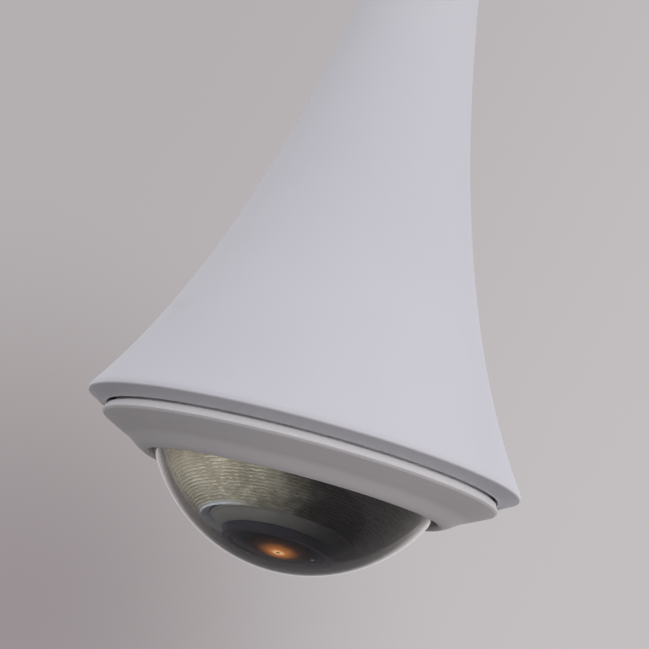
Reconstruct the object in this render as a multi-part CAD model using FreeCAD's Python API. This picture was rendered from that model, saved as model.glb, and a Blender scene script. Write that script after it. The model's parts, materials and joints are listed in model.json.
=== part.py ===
"""Dome camera on a trumpet-shaped pendant, hung from a threaded pipe.

Millimetres, +Z up.  Heights in this file are measured up from the lip of the
shroud; save() lowers everything by SHROUD_HEIGHT, so the origin of the model
is the mouth of the pipe thread at the top of the shroud.  The eye (shell,
lens and sensor) is drawn looking straight down and then turned about the
centre of the dome by AIM_TILT.
"""
import FreeCAD, Part
import math
import os

V = FreeCAD.Vector

# ---- fits -------------------------------------------------------------
RUNNING = 0.05          # radial clearance of a shaft that turns in a hole
FREE = 0.4              # gap between pieces that move past each other
SCREW_SLACK = 0.2       # radial slack of a screw in a plain hole
TOUCH = 1e-6            # two heights nearer than this are one
OVERCUT = 1.0           # how far a cutting tool runs past a face
HEAD_ROUND = 0.3        # screw heads: shares of the head's height and radius
SOCKET_DEPTH = 0.5
SOCKET_REACH = 0.45

# ---- shroud: an exponential horn --------------------------------------
SHROUD_HEIGHT = 195.0   # lip plane to pipe mouth
LIP_R = 82.9            # radius the horn would reach at the lip plane
HORN_NECKING = 1.383      # how often the horn narrows by e over its height
HORN_RATE = SHROUD_HEIGHT / HORN_NECKING
FLARE = 0.0455          # extra opening of the horn close to the lip
FLARE_HEIGHT = 35.0
SHROUD_WALL = 2.5
LIP_ROUND_HEIGHT = 2.2  # height of the rolled edge
LIP_WIDTH = 9.1         # horn radius to mouth edge, along the return flange
LIP_FLAT = 2.1          # flat part of the flange, next to the mouth
LIP_DROP = 2.4          # how far the return flange hangs below the lip plane
HUB_HEIGHT = 35.0       # solid top of the shroud round the pipe hub
LIP_CORNER_DROP = 0.3   # where the rolled edge meets the return flange
LIP_CORNER_INSET = 0.55

# ---- pipe hub ---------------------------------------------------------
PIPE_THREAD_R = 12.15   # minor radius of a 3/4 inch pipe thread
PIPE_THREAD_LENGTH = 20.0
HUB_R = 16.0
HUB_BORE_R = 11.0
HUB_FLANGE_R = 21.0
HUB_FLANGE = 3.0
HUB_SCREW_R = 1.25
HUB_SCREW_CIRCLE_R = 18.5
LOCK_SCREW_R = 2.1
LOCK_SCREW_DROP = 9.0   # below the pipe mouth
LOCK_SCREW_INSET = 0.3
HUB_SCREW_REACH = 6.0

# ---- dome and cover ---------------------------------------------------
DOME_R = 59.4
DOME_WALL = 1.8
DOME_CENTRE_Z = 13.4
DOME_FLANGE_WIDTH = 7.0
DOME_FLANGE = 2.0
DOME_SEAT_Z = -5.0
GASKET = 1.0
OPENING_Z = -12.8       # top edge of the bezel's inner lip
OPENING_GAP = 1.3       # dark groove between dome and bezel lip
BEZEL_LIP_Z = -15.6     # underside of the bezel lip
BAND_TOP_Z = -2.9
BAND_HEIGHT = 2.6
BAND_FLARE = 1.15
BAND_GAP = 0.3
SPIGOT_INSET = 2.8
SPIGOT_WALL = 2.0
SPIGOT_TOP_Z = 7.0
RETAINER = 1.5
RETAINER_SCREW_R = 1.25
RETAINER_SCREW_INSET = 2.8
RETAINER_SCREWS = 6
RETAINER_SCREW_REACH = 3.0
RETAINER_INSET = 1.2    # inner edge of the retainer outside the bubble
GASKET_INSET = 0.6
BAND_LIP = 0.7          # undercut below the band
BAND_LIP_DROP = 0.9
BEZEL_FOOT = 2.0        # width of the rounded lip round the dome
BEZEL_FOOT_HEIGHT = 1.5
SKIRT_SHAPE = [(0.78, 0.75), (0.58, 0.58), (0.38, 0.41), (0.13, 0.115)]  # hollow curve, as shares
SCREW_HEAD_R = 2.2
SCREW_HEAD = 1.6

# ---- camera base ------------------------------------------------------
BASE_FLANGE_Z = 1.0
BASE_FLANGE = 2.0
BASE_FLANGE_INSET = 2.2  # rim of the flange inside the spigot
BASE_WALL = 2.5
BASE_MARGIN = 1.986     # side wall to the shroud, at the deck
DECK_Z = 27.6
DECK = 2.4
NECK_MARGIN = 2.572     # upper wall to the shroud, at the back cover
BACK_COVER_Z = 42.5
BACK_COVER = 2.5
SEAL_HEIGHT = 2.1
SEAL_WIDTH = 3.0
SPRING_WIDTH = 10.0
SPRING_SHEET = 0.4
SPRING_RISE = 2.4       # height of the bow above the flange
SPRING_SCREW_R = 1.0
SPRING_SCREW_INSET = 2.6
SPRING_SCREW_HEAD_R = 1.9
SPRING_SCREW_HEAD = 1.4
LID_POST_R = 3.4
LID_SCREW_R = 1.25
LID_SCREW_INSET = 2.4
LID_SCREW_REACH = 7.0
FIN_FROM = 27.0
FIN_END_MARGIN = 8.0
FIN_WIDTH = 1.2
FIN_HEIGHT = 2.2
FIN_STEP = 6            # degrees between the fins
FIN_SPREAD = 58
FIN_CLEAR_OF_STUD = 10

# ---- mounting plate and bayonet ---------------------------------------
PLATE_GAP = 5.0         # back cover to mounting plate
PLATE = 2.0
PLATE_MARGIN = 1.647    # rim of the plate to the shroud
PLATE_HOLE_R = 27.0
PLATE_SCREW_INSET = 5.5
PLATE_SCREW_R = 1.65
PLATE_SCREW_HEAD_R = 3.4
PLATE_SCREW_HEAD = 2.6
PLATE_SCREW_REACH = 9.0
BOSS_R = 4.2
BOSS_HEIGHT = 32.0
STUD_CIRCLE_R = 38.0
STUD_R = 2.0
STUD_SHOULDER_R = 3.2
STUD_HEAD_R = 4.0
STUD_HEAD = 2.0
BAYONET_TURN = 18.0

# ---- boards -----------------------------------------------------------
BOARD = 1.6
BOARD_MARGIN = 3.5      # edge of the board to the upper wall
MAIN_BOARD_Z = 34.0
BOARD_SCREW_R = 1.25
BOARD_SCREW_INSET = 4.5
BOARD_SCREW_REACH = 2.0
BOARD_POST_R = 2.8
BOARD_NOTCH_GAP = 0.8
JACK_SIZE = 16.0
JACK_HEIGHT = 13.4
JACK_Y = 13.0
JACK_PORT_X = 11.8
JACK_PORT_Y = 8.0
JACK_PORT_DEPTH = 11.6
CARD_X = 11.0
CARD_THICK = 1.0
CARD_LENGTH = 15.0
CARD_PLACE = (-13.0, -10.0)
SOCKET_WALL = 1.0
SOCKET_HEIGHT = 10.0
BUTTON_PLACE = (13.0, -10.0)
BUTTON_R = 1.4
BUTTON_TRAVEL = 0.5
PROCESSOR_PLACE = (-20.0, 8.0)
PROCESSOR_SIZE = 14.0
PROCESSOR = 1.6
CONTACT_WIDTH = 0.4
CONTACT_DEPTH = 0.8
CONTACT_PITCH = 1.02
CONTACT_TIP_DROP = 3.0
CONTACTS = 8
CARD_NOTCH = (2.6, 6.0)
SWITCH_SIZE = 6.0
SWITCH_HEIGHT = 3.4
SWITCH_FLOOR = 1.0
BUTTON_TOP_DROP = 0.5
BUTTON_ROUND = 0.4
LED_SIZE = (3.0, 2.4)
LED_HEIGHT = 1.2
LIGHT_PIPE_R = 1.5
LIGHT_PIPE_PLACE = (0.0, -18.0)
CAPACITOR_R = 3.15
CAPACITOR_HEIGHT = 6.0
CAPACITOR_PLACES = [(22.0, 12.0), (22.0, 22.0), (31.0, 8.0)]
TRANSFORMER_SIZE = (13.0, 11.0)
TRANSFORMER_HEIGHT = 6.2
TRANSFORMER_PLACE = (-16.0, 27.0)
FLEX_SIZE = (14.0, 4.0)
FLEX_HEIGHT = 2.0
FLEX_SLOT = (11.0, 2.0)
FLEX_PLACE = (0.0, -28.0)

# ---- pan yoke ---------------------------------------------------------
PAN_HUB_R = 20.0
PAN_HUB_BORE_R = 14.0
PAN_DISC_R = 46.0
PAN_DISC = 2.2
YOKE_ARM_X = 31.6       # inner face of a yoke arm
YOKE_ARM = 3.0
YOKE_ARM_WIDTH = 12.0
TRUNNION_R = 2.0
TRUNNION_HEAD_R = 3.6
CIRCLIP = 1.0
CIRCLIP_R = 23.5
CIRCLIP_GROOVE = 1.2
WAVE_WASHER = 0.3
HUB_RIM = 0.8           # hub standing above the circlip
TRUNNION_HEAD = 1.6
TRUNNION_SOCKET = 1.0
GUSSET = 2.4
GUSSET_WIDTH = 6.0
GUSSET_HEIGHT = 5.0
CIRCLIP_SLOT = 5.0

# ---- eye --------------------------------------------------------------
AIM_TILT = 11.0         # the eye rests tilted this far towards -Y
EYE_GAP = 1.1           # dome to the highest point of the ribs
RIB_COUNT = 32
RIB_FIRST_ANGLE = 32.2  # from the lens axis, seen from the dome centre
RIB_LAST_ANGLE = 75.0
RIB_NOSE_SINK = 1.0     # the ribs lie deeper beside the lens
EYE_OPENING_R = 26.8    # hole in the eye that the lens collar fills
EYE_BEVEL = 1.6         # the hole's edge lies this much deeper than the first rib
EYE_SHELL_WALL = 1.9
RIB_STEP_DEPTH = 1.0    # deepest corner between two ribs
EYE_ARM = 3.0
EYE_ARM_WIDTH = 9.0
EYE_RING_WALL = 7.0
EYE_RING_FRONT = 36.0   # depths below are distances from the dome centre
EYE_RING_BACK = 32.0
EYE_BOSS_INSET = 5.0    # boss circle outside the lens ring
EYE_BOSS_R = 2.8
EYE_BOSS_SINK = 4.5
EYE_TAB = 2.0
EYE_TAB_SIZE = (10.0, 6.0)
EYE_SCREW_R = 1.0
EYE_SCREW_REACH = 3.2
EYE_SCREW_HEAD_R = 1.8
EYE_SCREW_HEAD = 1.2

# ---- lens -------------------------------------------------------------
COLLAR_FRONT = 49.4
COLLAR_EDGE = 45.8
COLLAR_BACK = 43.6
BARREL_R = 21.0
BARREL_STEP_IN = 0.6    # nose narrower than the barrel
NOSE_WALL = 1.8
GLASS_BULGE = 3.6
GLASS_EDGE = 3.6
RING_LIP = 1.2
REAR_STEP_IN = 7.0
BARREL_STEP = 30.0
BARREL_END = 16.0
BARREL_WALL = 10.0
ELEMENT_TWO_WALL = 6.0
REAR_WALL = 4.5
GLASS_BACK_BULGE = 1.6
RING_WIDTH = 0.9
RING_BEVEL = 0.5
SHOULDER_DROP = 12.0    # front glass seat to the seat of the second glass
ELEMENT_TWO = 4.0
ELEMENT_TWO_BULGE = 1.2
REAR_ELEMENT = (18.0, 24.0)
REAR_ELEMENT_BULGE = 1.6
IRIS_R = 3.0
IRIS = 2.0
MOUNT_SLEEVE = 9.0
MOUNT_SLEEVE_WALL = 2.0
SENSOR_BOARD_SIZE = 35.0
SENSOR_BOARD_FRONT = 4.6
SENSOR_SIZE = (12.0, 10.0)
SENSOR = 1.2
FILTER_HOUSING_SIZE = (34.0, 22.0)
FILTER_HOUSING_BACK = 6.6
FILTER_HOUSING_FRONT = 12.6
FILTER_WINDOW_R = 4.2
FILTER_PITCH = 9.0
FILTER_FRAME_SIZE = (20.4, 11.0)
FILTER_FRAME = 1.0
FILTER_BACK = 9.0
FILTER_GLASS = 0.6
FILTER_COIL_SIZE = (12.0, 2.6)
FILTER_COIL_INSET = 1.0
WINDOW_MARGIN = 1.5
SENSOR_SCREW_R = 1.0
SENSOR_SCREW_INSET = 2.6
SENSOR_SCREW_HEAD_R = 1.9
SENSOR_SCREW_HEAD = 1.2
SENSOR_POST_R = 2.2

# ---- profile of the horn, which other sizes follow ----------------------
def horn_r(z):
    return LIP_R * math.exp(-z / HORN_RATE - FLARE * (1 - math.exp(-z / FLARE_HEIGHT)))


def horn_bore_r(z):
    slope = horn_r(z) * (1 / HORN_RATE + FLARE / FLARE_HEIGHT * math.exp(-z / FLARE_HEIGHT))
    return horn_r(z) - SHROUD_WALL * math.hypot(1, slope)


# ---- worked out from the sizes above ----------------------------------
MOUTH_R = LIP_R - LIP_WIDTH
BAND_R = MOUTH_R - BAND_GAP
SPIGOT_R = MOUTH_R - SPIGOT_INSET
SPIGOT_BORE_R = SPIGOT_R - SPIGOT_WALL
DOME_BORE_R = DOME_R - DOME_WALL
DOME_FLANGE_R = math.sqrt(DOME_R ** 2 - (DOME_CENTRE_Z - DOME_SEAT_Z) ** 2) + DOME_FLANGE_WIDTH
LEDGE_Z = DOME_SEAT_Z - GASKET
RETAINER_Z = DOME_SEAT_Z + DOME_FLANGE
RETAINER_R = SPIGOT_BORE_R - FREE
RETAINER_SCREW_CIRCLE_R = RETAINER_R - RETAINER_SCREW_INSET + FREE
BASE_FLANGE_R = SPIGOT_BORE_R - BASE_FLANGE_INSET
FLANGE_TOP_Z = BASE_FLANGE_Z + BASE_FLANGE
DECK_TOP_Z = DECK_Z + DECK
BACK_TOP_Z = BACK_COVER_Z + BACK_COVER
BASE_R = horn_bore_r(DECK_TOP_Z) - BASE_MARGIN
BASE_TOP_R = horn_bore_r(BACK_TOP_Z) - NECK_MARGIN
BASE_NECK_R = BASE_TOP_R - BASE_WALL
SPRING_SCREW_CIRCLE_R = BASE_R + SPRING_SCREW_INSET
LID_SCREW_CIRCLE_R = BASE_NECK_R - LID_SCREW_INSET
PLATE_Z = BACK_TOP_Z + PLATE_GAP
PLATE_TOP_Z = PLATE_Z + PLATE
PLATE_R = horn_bore_r(PLATE_TOP_Z) - PLATE_MARGIN
PLATE_SCREW_CIRCLE_R = PLATE_R - PLATE_SCREW_INSET
CEILING_Z = SHROUD_HEIGHT - HUB_HEIGHT
MAIN_BOARD_R = BASE_NECK_R - BOARD_MARGIN
BOARD_SCREW_CIRCLE_R = MAIN_BOARD_R - BOARD_SCREW_INSET
BOARD_TOP_Z = MAIN_BOARD_Z + BOARD
JACK_TOP_Z = BOARD_TOP_Z + JACK_HEIGHT
PAN_DISC_TOP_Z = DECK_Z - FREE
PAN_DISC_LOW_Z = PAN_DISC_TOP_Z - PAN_DISC
WASHER_Z = DECK_TOP_Z + FREE
CIRCLIP_Z = WASHER_Z + WAVE_WASHER
EYE_ARM_X = YOKE_ARM_X - FREE - EYE_ARM
EYE_RING_R = BARREL_R + EYE_RING_WALL
EYE_BOSS_CIRCLE_R = EYE_RING_R + EYE_BOSS_INSET
BARREL_NOSE_R = BARREL_R - BARREL_STEP_IN
GLASS_R = BARREL_NOSE_R - NOSE_WALL
BARREL_REAR_R = BARREL_R - REAR_STEP_IN
BARREL_BORE_R = BARREL_R - BARREL_WALL
ELEMENT_TWO_R = BARREL_R - ELEMENT_TWO_WALL
ELEMENT_THREE_R = BARREL_REAR_R - REAR_WALL
EYE_R = DOME_BORE_R - EYE_GAP
NOSE_FRONT = math.sqrt(EYE_R ** 2 - BARREL_NOSE_R ** 2)
GLASS_SEAT = NOSE_FRONT - RING_LIP - GLASS_EDGE
SHOULDER = GLASS_SEAT - SHOULDER_DROP
CENTRE = V(0, 0, DOME_CENTRE_Z)


# ---- drawing helpers --------------------------------------------------
def save(name, shape, aimed=False):
    """Write one sub-part; aimed ones turn with the eye first."""
    shape = shape.copy()
    if aimed:
        shape.rotate(CENTRE, V(1, 0, 0), -AIM_TILT)
    shape.translate(V(0, 0, -SHROUD_HEIGHT))
    shape.exportStep("parts/%s.step" % name)


def spun(edges):
    """Solid of revolution about the Z axis from a closed chain of edges."""
    face = Part.Face(Part.Wire(edges))
    return face.revolve(V(0, 0, 0), V(0, 0, 1), 360)


def chain(points):
    """Straight edges through (radius, height) points."""
    places = [V(r, 0, z) for r, z in points]
    return [Part.makeLine(a, b) for a, b in zip(places, places[1:])]


def turned(points):
    """Solid of revolution from a closed polygon of (radius, height)."""
    return spun(chain(points + points[:1]))


def arc(start, middle, end):
    """Arc edge through three (radius, height) points."""
    places = [V(r, 0, z) for r, z in (start, middle, end)]
    return Part.Arc(*places).toShape()


def curve(points):
    """Smooth edge through (radius, height) points."""
    spline = Part.BSplineCurve()
    spline.interpolate([V(r, 0, z) for r, z in points])
    return spline.toShape()


def disc(radius, low, high, place=(0, 0)):
    return Part.makeCylinder(radius, high - low, V(place[0], place[1], low))


def ring(inner, outer, low, high, place=(0, 0)):
    return disc(outer, low, high, place).cut(disc(inner, low - OVERCUT, high + OVERCUT, place))


def block(size_x, size_y, low, high, place=(0, 0)):
    corner = V(place[0] - size_x / 2, place[1] - size_y / 2, low)
    return Part.makeBox(size_x, size_y, high - low, corner)


def around(shape, angles):
    """Copies of a shape turned about the Z axis."""
    copies = []
    for angle in angles:
        copy = shape.copy()
        copy.rotate(V(0, 0, 0), V(0, 0, 1), angle)
        copies.append(copy)
    return copies


def every(count, first=0.0):
    return [first + 360.0 * i / count for i in range(count)]


def cut_all(shape, tools):
    for tool in tools:
        shape = shape.cut(tool)
    return shape


def fuse_all(shape, others):
    for other in others:
        shape = shape.fuse(other)
    return shape.removeSplitter()


def group(shapes):
    return Part.makeCompound(shapes)


def rim_edges(shape, height):
    """Edges that lie wholly at a height."""
    box = [(e, e.BoundBox) for e in shape.Edges]
    return [e for e, b in box if abs(b.ZMin - height) < TOUCH and abs(b.ZMax - height) < TOUCH]


def pan_head_screw(radius, tip, seat, head_r, head, circle_r, up=True):
    """Screw at (circle_r, 0); its head sits on the seat, above it if up."""
    shank = disc(radius, min(tip, seat), max(tip, seat), (circle_r, 0))
    side = 1 if up else -1
    low, high = sorted((seat, seat + side * head))
    cap = disc(head_r, low, high, (circle_r, 0))
    top = seat + side * head
    cap = cap.makeFillet(head * HEAD_ROUND, rim_edges(cap, top))
    socket_low, socket_high = sorted((top, top - side * head * SOCKET_DEPTH))
    reach = head_r * SOCKET_REACH
    corners = [math.radians(60 * i) for i in range(7)]
    hexagon = Part.makePolygon([
        V(circle_r + reach * math.cos(a), reach * math.sin(a), socket_low) for a in corners])
    socket = Part.Face(hexagon).extrude(V(0, 0, socket_high - socket_low))
    return shank.fuse(cap).removeSplitter().cut(socket)


# ---- shroud and hub ---------------------------------------------------
def stations(low, high, count=14):
    return [low + (high - low) * i / (count - 1) for i in range(count)]


def horn_solid():
    """The horn filled in, used as the outer limit of the bosses."""
    heights = stations(LIP_ROUND_HEIGHT, SHROUD_HEIGHT)
    side = curve([(horn_r(z), z) for z in heights])
    rest = chain([(horn_r(SHROUD_HEIGHT), SHROUD_HEIGHT), (0, SHROUD_HEIGHT), (0, LIP_ROUND_HEIGHT),
                  (horn_r(LIP_ROUND_HEIGHT), LIP_ROUND_HEIGHT)])
    return spun([side] + rest)


def pendant_shroud():
    top_r = horn_r(SHROUD_HEIGHT)
    edge = horn_r(LIP_ROUND_HEIGHT)
    shelf_z = LIP_ROUND_HEIGHT
    bevel_start = (edge - LIP_CORNER_INSET, LIP_CORNER_DROP)
    bevel_end = (MOUTH_R + LIP_FLAT, -LIP_DROP)
    outer = curve([(horn_r(z), z) for z in stations(LIP_ROUND_HEIGHT, SHROUD_HEIGHT)])
    inner = curve([(horn_bore_r(z), z) for z in stations(shelf_z, CEILING_Z)])
    edges = [
        outer,
        arc((edge, LIP_ROUND_HEIGHT), (edge + LIP_CORNER_DROP, LIP_ROUND_HEIGHT / 2), bevel_start),
    ]
    edges += chain([bevel_start, bevel_end, (MOUTH_R, LIP_CORNER_DROP - LIP_DROP), (MOUTH_R, LIP_CORNER_DROP),
                    (horn_bore_r(shelf_z), shelf_z)])
    edges.append(inner)
    edges += chain([(horn_bore_r(CEILING_Z), CEILING_Z), (HUB_R, CEILING_Z), (HUB_R, SHROUD_HEIGHT),
                    (top_r, SHROUD_HEIGHT)])
    shell = spun(edges)
    top = PLATE_TOP_Z
    boss = disc(BOSS_R, top, top + BOSS_HEIGHT, (PLATE_SCREW_CIRCLE_R, 0))
    thread = disc(PLATE_SCREW_R, top - OVERCUT, top + PLATE_SCREW_REACH + OVERCUT, (PLATE_SCREW_CIRCLE_R, 0))
    limit = horn_solid()
    for boss_here in around(boss, every(3, 30)):
        shell = shell.fuse(boss_here.common(limit))
    holes = around(thread, every(3, 30))
    low, high = CEILING_Z - OVERCUT, CEILING_Z + HUB_SCREW_REACH + OVERCUT
    hub_thread = disc(HUB_SCREW_R, low, high, (HUB_SCREW_CIRCLE_R, 0))
    holes += around(hub_thread, every(3, 90))
    holes.append(lock_screw_rod(LOCK_SCREW_R, 0, LIP_R))
    return cut_all(shell, holes)


def lock_screw_rod(radius, start, end):
    """Rod along +Y at the height of the pipe lock screw."""
    place = V(0, start, SHROUD_HEIGHT - LOCK_SCREW_DROP)
    return Part.makeCylinder(radius, end - start, place, V(0, 1, 0))


def pipe_hub():
    thread_end = SHROUD_HEIGHT - PIPE_THREAD_LENGTH
    flange_z = CEILING_Z - HUB_FLANGE
    hub = turned([(HUB_BORE_R, flange_z), (HUB_FLANGE_R, flange_z), (HUB_FLANGE_R, CEILING_Z),
                  (HUB_R, CEILING_Z), (HUB_R, SHROUD_HEIGHT), (PIPE_THREAD_R, SHROUD_HEIGHT),
                  (PIPE_THREAD_R, thread_end), (HUB_BORE_R, thread_end)])
    hole = disc(HUB_SCREW_R, flange_z - OVERCUT, CEILING_Z + OVERCUT, (HUB_SCREW_CIRCLE_R, 0))
    return cut_all(hub, around(hole, every(3, 90)) + [lock_screw_rod(LOCK_SCREW_R, 0, HUB_R + OVERCUT)])


def hub_screws():
    screw = pan_head_screw(HUB_SCREW_R, CEILING_Z + HUB_SCREW_REACH, CEILING_Z - HUB_FLANGE, SCREW_HEAD_R,
                           SCREW_HEAD, HUB_SCREW_CIRCLE_R, up=False)
    return group(around(screw, every(3, 90)))


def pipe_lock_screw():
    outside = horn_r(SHROUD_HEIGHT - LOCK_SCREW_DROP) - LOCK_SCREW_INSET
    rod = lock_screw_rod(LOCK_SCREW_R, PIPE_THREAD_R + LOCK_SCREW_INSET, outside)
    return rod.cut(lock_screw_rod(LOCK_SCREW_R / 2, outside - LOCK_SCREW_R, outside + OVERCUT))


# ---- mounting plate ---------------------------------------------------
def keyhole():
    """Slot that a bayonet stud turns through, ending in a head-sized hole."""
    low, high = PLATE_Z - OVERCUT, PLATE_TOP_Z + OVERCUT
    slot_r = STUD_R + FREE
    track = ring(STUD_CIRCLE_R - slot_r, STUD_CIRCLE_R + slot_r, low, high)
    reach = 2 * STUD_CIRCLE_R
    corners = [V(0, 0, low), V(reach, 0, low),
               V(reach * math.cos(math.radians(BAYONET_TURN)),
                 reach * math.sin(math.radians(BAYONET_TURN)), low), V(0, 0, low)]
    wedge = Part.Face(Part.makePolygon(corners)).extrude(V(0, 0, high - low))
    start = disc(slot_r, low, high, (STUD_CIRCLE_R, 0))
    end = around(disc(STUD_HEAD_R + FREE, low, high, (STUD_CIRCLE_R, 0)), [BAYONET_TURN])[0]
    return track.common(wedge).fuse(start).fuse(end)


def mounting_plate():
    plate = ring(PLATE_HOLE_R, PLATE_R, PLATE_Z, PLATE_TOP_Z)
    low, high = PLATE_Z - OVERCUT, PLATE_TOP_Z + OVERCUT
    screw_hole = disc(PLATE_SCREW_R + SCREW_SLACK, low, high, (PLATE_SCREW_CIRCLE_R, 0))
    return cut_all(plate, around(screw_hole, every(3, 30)) + around(keyhole(), every(3, 90)))


def plate_screws():
    screw = pan_head_screw(PLATE_SCREW_R, PLATE_TOP_Z + PLATE_SCREW_REACH, PLATE_Z, PLATE_SCREW_HEAD_R,
                           PLATE_SCREW_HEAD, PLATE_SCREW_CIRCLE_R, up=False)
    return group(around(screw, every(3, 30)))


def bayonet_studs():
    shoulder_top = PLATE_Z - FREE
    head_z = PLATE_TOP_Z + FREE
    stud = fuse_all(disc(STUD_R, BACK_COVER_Z, head_z, (STUD_CIRCLE_R, 0)), [
        disc(STUD_SHOULDER_R, BACK_TOP_Z, shoulder_top, (STUD_CIRCLE_R, 0)),
        disc(STUD_HEAD_R, head_z, head_z + STUD_HEAD, (STUD_CIRCLE_R, 0))])
    return group(around(stud, every(3, 90)))


# ---- camera base ------------------------------------------------------
def camera_base():
    bore = BASE_R - BASE_WALL
    cup = turned([(bore, BASE_FLANGE_Z), (BASE_FLANGE_R, BASE_FLANGE_Z), (BASE_FLANGE_R, FLANGE_TOP_Z),
                  (BASE_R, FLANGE_TOP_Z), (BASE_R, DECK_TOP_Z), (BASE_TOP_R, DECK_TOP_Z),
                  (BASE_TOP_R, BACK_COVER_Z), (BASE_NECK_R, BACK_COVER_Z), (BASE_NECK_R, DECK_TOP_Z),
                  (PAN_HUB_R + RUNNING, DECK_TOP_Z), (PAN_HUB_R + RUNNING, DECK_Z), (bore, DECK_Z)])
    lid_place = (LID_SCREW_CIRCLE_R, 0)
    posts = around(disc(LID_POST_R, DECK_TOP_Z, BACK_COVER_Z, lid_place), every(4, 15))
    low, high = BASE_FLANGE_Z - OVERCUT, FLANGE_TOP_Z + OVERCUT
    flange_hole = disc(SPRING_SCREW_R, low, high, (SPRING_SCREW_CIRCLE_R, 0))
    lid_thread = disc(LID_SCREW_R, BACK_COVER_Z - LID_SCREW_REACH - OVERCUT, BACK_COVER_Z + OVERCUT, lid_place)
    board_thread = disc(BOARD_SCREW_R, DECK_Z - OVERCUT, DECK_TOP_Z + OVERCUT, (BOARD_SCREW_CIRCLE_R, 0))
    cup = fuse_all(cup, posts)
    return cut_all(cup, around(flange_hole, every(3)) + around(lid_thread, every(4, 15)) +
                   around(board_thread, every(4, 60)))


def cover_springs():
    """Bowed leaf springs that press on the inside of the bezel spigot."""
    crown = math.sqrt((SPIGOT_BORE_R - FREE) ** 2 - (SPRING_WIDTH / 2) ** 2)
    heel = BASE_R + SPRING_SCREW_INSET - SPRING_SCREW_HEAD_R
    rim = BASE_FLANGE_R
    foot_z = FLANGE_TOP_Z
    bow_z = foot_z + SPRING_RISE
    crown_z = BASE_FLANGE_Z + 2 * SPRING_SHEET
    tail_z = BASE_FLANGE_Z - SPRING_RISE / 2
    outer = [(heel, foot_z + SPRING_SHEET), (rim - SPRING_SHEET, foot_z + SPRING_SHEET),
             (rim + SPRING_SHEET, bow_z), (rim + 2.5 * SPRING_SHEET, bow_z),
             (crown, crown_z), (rim + 2.2 * SPRING_SHEET, tail_z)]
    inner = [(rim + SPRING_SHEET, tail_z), (crown - SPRING_SHEET, crown_z),
             (rim + 1.8 * SPRING_SHEET, bow_z - 1.8 * SPRING_SHEET),
             (rim + 1.2 * SPRING_SHEET, bow_z - 1.8 * SPRING_SHEET),
             (rim + SPRING_SHEET / 4, foot_z), (heel, foot_z)]
    outline = [V(r, -SPRING_WIDTH / 2, z) for r, z in outer + inner]
    strip = Part.Face(Part.makePolygon(outline + outline[:1])).extrude(V(0, SPRING_WIDTH, 0))
    hole = disc(SPRING_SCREW_R, foot_z - OVERCUT, foot_z + OVERCUT, (SPRING_SCREW_CIRCLE_R, 0))
    return group(around(strip.cut(hole), every(3)))


def spring_screws():
    screw = pan_head_screw(SPRING_SCREW_R, BASE_FLANGE_Z, FLANGE_TOP_Z + SPRING_SHEET, SPRING_SCREW_HEAD_R,
                           SPRING_SCREW_HEAD, SPRING_SCREW_CIRCLE_R)
    return group(around(screw, every(3)))


def cover_seal():
    inner = BASE_R - BASE_WALL + FREE
    return ring(inner, inner + SEAL_WIDTH, BASE_FLANGE_Z - SEAL_HEIGHT, BASE_FLANGE_Z)


def back_cover():
    lid = disc(BASE_TOP_R, BACK_COVER_Z, BACK_TOP_Z)
    low, high = BACK_COVER_Z - OVERCUT, BACK_TOP_Z + OVERCUT
    jack = JACK_SIZE + FREE
    wall = 2 * SOCKET_WALL + FREE
    cuts = [block(jack, jack, low, high, (0, JACK_Y))]
    cuts.append(block(CARD_X + wall, CARD_THICK + wall, low, high, CARD_PLACE))
    cuts.append(disc(BUTTON_R + FREE, low, high, BUTTON_PLACE))
    cuts.append(disc(LIGHT_PIPE_R, low, high, LIGHT_PIPE_PLACE))
    lid_hole = disc(LID_SCREW_R + SCREW_SLACK, low, high, (LID_SCREW_CIRCLE_R, 0))
    cuts += around(lid_hole, every(4, 15))
    cuts += around(disc(STUD_R, low, high, (STUD_CIRCLE_R, 0)), every(3, 90))
    length = BASE_TOP_R - FIN_END_MARGIN - FIN_FROM
    fin = Part.makeBox(length, FIN_WIDTH, FIN_HEIGHT, V(FIN_FROM, -FIN_WIDTH / 2, BACK_TOP_Z))
    spokes = range(180 - FIN_SPREAD, 180 + FIN_SPREAD + 1, FIN_STEP)
    clear = [a for a in spokes if min(abs(a - b) for b in every(3, 90)) > FIN_CLEAR_OF_STUD]
    return cut_all(fuse_all(lid, around(fin, clear)), cuts)


def back_cover_screws():
    screw = pan_head_screw(LID_SCREW_R, BACK_COVER_Z - LID_SCREW_REACH, BACK_TOP_Z, SCREW_HEAD_R, SCREW_HEAD,
                           LID_SCREW_CIRCLE_R)
    return group(around(screw, every(4, 15)))


# ---- electronics ------------------------------------------------------
def main_board():
    board = disc(MAIN_BOARD_R, MAIN_BOARD_Z, BOARD_TOP_Z)
    low, high = MAIN_BOARD_Z - OVERCUT, BOARD_TOP_Z + OVERCUT
    notch = disc(LID_POST_R + BOARD_NOTCH_GAP, low, high, (LID_SCREW_CIRCLE_R, 0))
    hole = disc(BOARD_SCREW_R + SCREW_SLACK, low, high, (BOARD_SCREW_CIRCLE_R, 0))
    return cut_all(board, around(notch, every(4, 15)) + around(hole, every(4, 60)))


def board_standoffs():
    place = (BOARD_SCREW_CIRCLE_R, 0)
    spacer = ring(BOARD_SCREW_R + SCREW_SLACK, BOARD_POST_R, DECK_TOP_Z, MAIN_BOARD_Z, place)
    return group(around(spacer, every(4, 60)))


def board_screws():
    screw = pan_head_screw(BOARD_SCREW_R, DECK_TOP_Z - BOARD_SCREW_REACH, BOARD_TOP_Z, SCREW_HEAD_R, SCREW_HEAD,
                           BOARD_SCREW_CIRCLE_R)
    return group(around(screw, every(4, 60)))


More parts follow.
